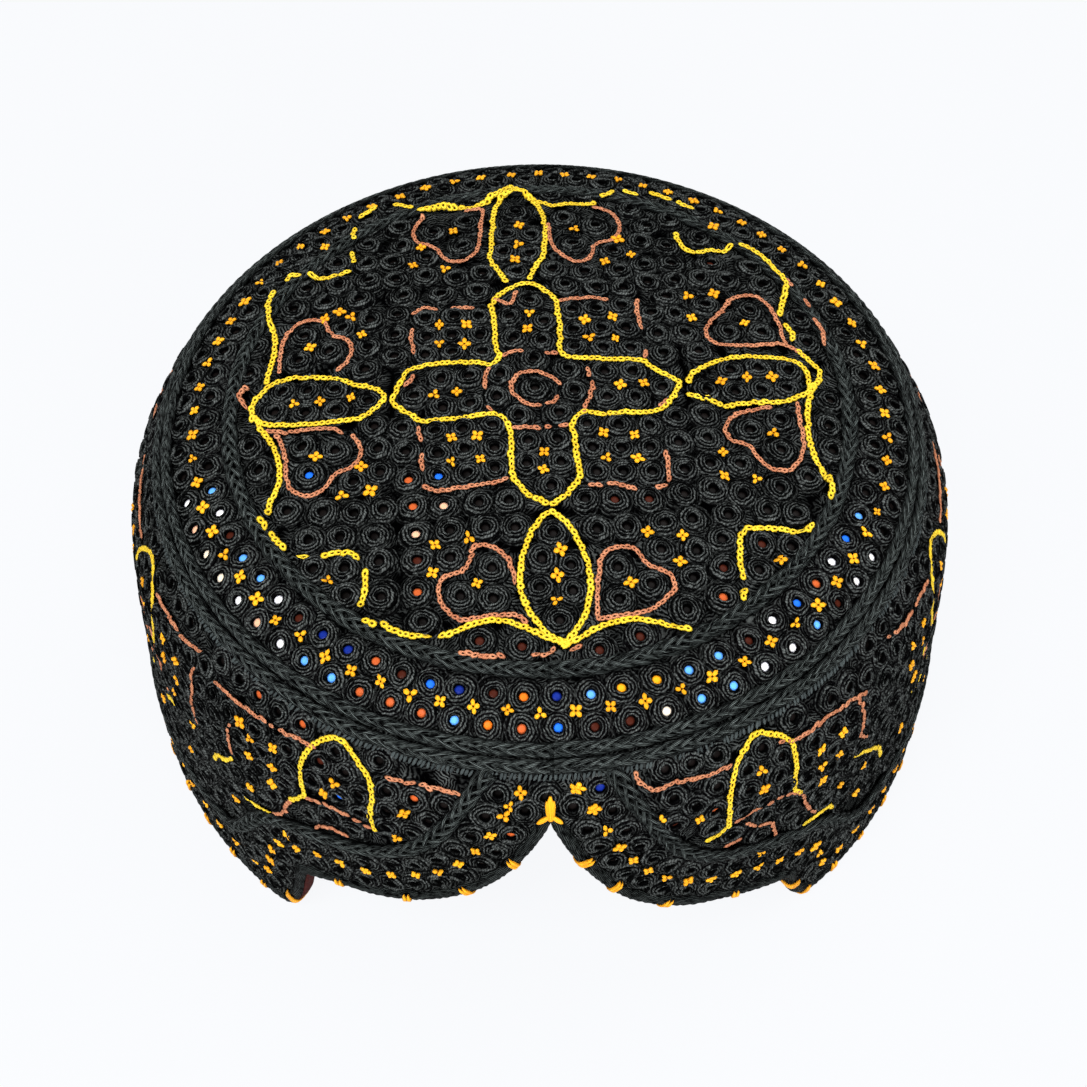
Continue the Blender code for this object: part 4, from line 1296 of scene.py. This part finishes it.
def embroider_band():
    order = np.arange(BAND_COUNT) - BAND_COUNT // 2
    further = BAND_FURTHER * (1 - np.exp(-(order / 6.0) ** 2)) * np.clip(
        (BAND_COUNT / 2 - np.abs(order)) / 10, 0, 1)
    turns = np.radians(BAND_TURN + 360 / BAND_COUNT * order + further)
    spots, mirrors = [], {}
    for radius, chart in ((INNER_ROW, BAND_INNER), (OUTER_ROW, BAND_OUTER)):
        up = float(up_at_radius(radius * MM)) / MM
        row = np.stack([turns * HEM_RADIUS / MM, np.full(BAND_COUNT, up)], axis=1)
        row += dice.normal(0, 0.18, row.shape)
        spots.append(row)
        for k, colour in chart.items():
            mirrors[tuple(row[k + BAND_COUNT // 2])] = colour
    lay_eyelets("band", on_wall, np.vstack(spots), mirrors)
    up = float(up_at_radius(BAND_CROSS_ROW * MM)) / MM
    between = (turns + np.roll(turns, -1)) / 2
    between[-1] = turns[-1] + math.pi / BAND_COUNT
    crosses = np.stack([between * HEM_RADIUS / MM, np.full(BAND_COUNT, up)], axis=1)
    lay_crosses("band_cross", on_wall, crosses + dice.normal(0, 0.25, crosses.shape))


def hem_line(width):
    """The line at a distance above the hem, as a polyline in the wall's chart."""
    across = np.arange(-HALF, HALF, HEM_SAMPLE)
    up = np.full(len(across), width)
    front = np.abs(across) < (LOBE_ANGLE + FOOT_ANGLE) * HEM_RADIUS + width + 0.004
    up[front] = above_hem(across[front], width)
    return np.stack([across, up], axis=1) / MM


def wall_mirrors(spots, reach):
    """The charted mirrors that have a spot within reach."""
    charted = {tuple(wall_chart([at])[0]): colour for at, colour in WALL_MIRRORS.items()}
    return {at: colour for at, colour in charted.items() if np.hypot(*(spots - at).T).min() < reach}


def hem_spots(top):
    """Two rows of eyelets along the hem, as far up as the outer braid lets them run."""
    rows = [spaced(hem_line(width), HEM_PITCH)[0] for width in HEM_ROWS]
    rows = np.vstack([row[row[:, 1] < top + 0.4] for row in rows])
    return thinned(rows + dice.normal(0, 0.15, rows.shape), EYELET_RADIUS * 1.7)


def wall_spots(top, held, lines, crosses):
    """Level rows of eyelets above the hem's braid, moved off the figures, with their gaps filled."""
    rows = []
    for k, up in enumerate(np.arange(top, 18, -5.75)):
        across = np.arange(-HALF / MM, HALF / MM - 3, ONCE_ROUND / MM / 94) + (k % 2) * 3.1
        rows.append(np.stack([across, np.full(len(across), up)], axis=1))
    rows = np.vstack(rows)
    rows = rows[rows[:, 1] > above_braid(rows[:, 0]) + 2.7]
    rows += dice.normal(0, 0.25, rows.shape)
    spots = make_room(rows, held, lines, crosses, 20)
    tries = np.stack(np.meshgrid(np.arange(-HALF / MM, HALF / MM - 4, 1.1),
                                 np.arange(top + 0.6, 20, -0.9)), axis=-1).reshape(-1, 2)
    tries = tries[tries[:, 1] > above_braid(tries[:, 0]) + 2.4]
    spots = make_room(fill_gaps(spots, tries, held, lines, crosses), held, lines, crosses, 6)
    return spots[(spots[:, 1] < top + 1.0) & (spots[:, 1] > above_braid(spots[:, 0]) + 1.9)]


def embroider_wall():
    yellow = [wall_chart(line) for line in YELLOW_WALL]
    copper = [wall_chart(line) for line in COPPER_WALL]
    crosses = [wall_chart(WALL_CROSSES)]
    for middle in ARCHES:
        yellow += [wall_chart(np.add(line, (middle, 0))) for line in ARCH_YELLOW]
        copper += [wall_chart(np.add(line, (middle, 0))) for line in ARCH_COPPER]
        crosses.append(wall_chart(np.add(ARCH_CROSSES, (middle, 0))))
    crosses = np.vstack(crosses)
    lines = np.vstack([spaced(smooth_through(line), 0.8)[0] for line in yellow + copper])
    top = (SHOULDER_SEAM - OUTER_BRAID_WIDTH / 2) / MM - 3.2
    held = hem_spots(top)
    between = spaced(hem_line(HEM_CROSS_ROW), HEM_PITCH)[0]
    between = between[between[:, 1] < top + 1.5]
    away = np.hypot(*(between[:, None] - held[None]).transpose(2, 0, 1)).min(axis=1)
    lay_eyelets("hem", on_wall, held, wall_mirrors(held, 5))
    lay_crosses("hem_cross", on_wall, thinned(between[away > 2.2], 4.2))
    spots = wall_spots(top, held, lines, crosses)
    lay_eyelets("wall", on_wall, spots, wall_mirrors(spots, 4))
    lay_chains("wall_yellow_chain", on_wall, yellow, 1.25, 1.10, YELLOW, 0.16)
    lay_chains("wall_copper_chain", on_wall, copper, 1.2, 0.8, COPPER, 0.22, 0.10)
    lay_crosses("wall_cross", on_wall, crosses)


# Floor, light and camera

LIGHTS = [
    # name, place, watts, side
    ("key_light", (-0.30, -0.45, 0.95), 11.0, 0.4),
    ("front_light", (0.22, -0.85, 0.42), 7.0, 0.4),
    ("top_light", (0.25, 0.35, 1.1), 7.0, 0.8),
]
FLOOR_HALF, FLOOR_DROP = 3.0, 0.0002
ROOM_LIGHT, ROOM_POWER = (0.97, 0.985, 1.0, 1), 0.6
ROOM_SEEN = (0.955, 0.965, 0.988, 1)


def pale_floor():
    made = bmesh.new()
    bmesh.ops.create_grid(made, x_segments=8, y_segments=8, size=FLOOR_HALF)
    mesh = finished("floor", made)
    mesh.materials.append(floor_paper())
    floor = bpy.data.objects.new("floor", mesh)
    floor.location.z = -FLOOR_DROP
    bpy.context.scene.collection.objects.link(floor)


def soft_room():
    """Dim light all round, which the camera itself sees as pale as the floor."""
    world = bpy.data.worlds.new("soft_room")
    world.use_nodes = True
    tree = world.node_tree
    light, seen = tree.nodes["Background"], tree.nodes.new("ShaderNodeBackground")
    light.inputs["Color"].default_value = ROOM_LIGHT
    light.inputs["Strength"].default_value = ROOM_POWER
    seen.inputs["Color"].default_value = ROOM_SEEN
    path, either = tree.nodes.new("ShaderNodeLightPath"), tree.nodes.new("ShaderNodeMixShader")
    tree.links.new(path.outputs["Is Camera Ray"], either.inputs[0])
    tree.links.new(light.outputs[0], either.inputs[1])
    tree.links.new(seen.outputs[0], either.inputs[2])
    tree.links.new(either.outputs[0], tree.nodes["World Output"].inputs[0])
    bpy.context.scene.world = world


def studio():
    pale_floor()
    soft_room()
    for name, at, power, size in LIGHTS:
        lamp = bpy.data.lights.new(name, "AREA")
        lamp.energy = power
        lamp.size = size
        light = bpy.data.objects.new(name, lamp)
        light.location = at
        aim_at(light, (0, 0, 0.05))
        bpy.context.scene.collection.objects.link(light)
    bpy.context.scene.view_settings.view_transform = "Standard"


def aim_at(thing, target):
    way = Vector(target) - thing.location
    thing.rotation_euler = way.to_track_quat("-Z", "Y").to_euler()


def camera():
    lens = bpy.data.cameras.new("camera")
    lens.lens = 57.22
    lens.sensor_width = 36.0
    lens.clip_start = 0.01
    eye = bpy.data.objects.new("camera", lens)
    eye.location = (-0.00497, -0.2381, 0.3664)
    eye.rotation_euler = (math.radians(35.46), 0.0, math.radians(-1.4))
    bpy.context.scene.collection.objects.link(eye)
    bpy.context.scene.camera = eye


camera()
studio()
quilted_crown()
quilted_band()
quilted_wall()
inner_cap()
ring_braids()
hem_cords()
bound_edge()
lining_edge()
whip_stitches()
notch_star()
tick_strip()
embroider_crown()
embroider_band()
embroider_wall()

bpy.context.view_layer.update()
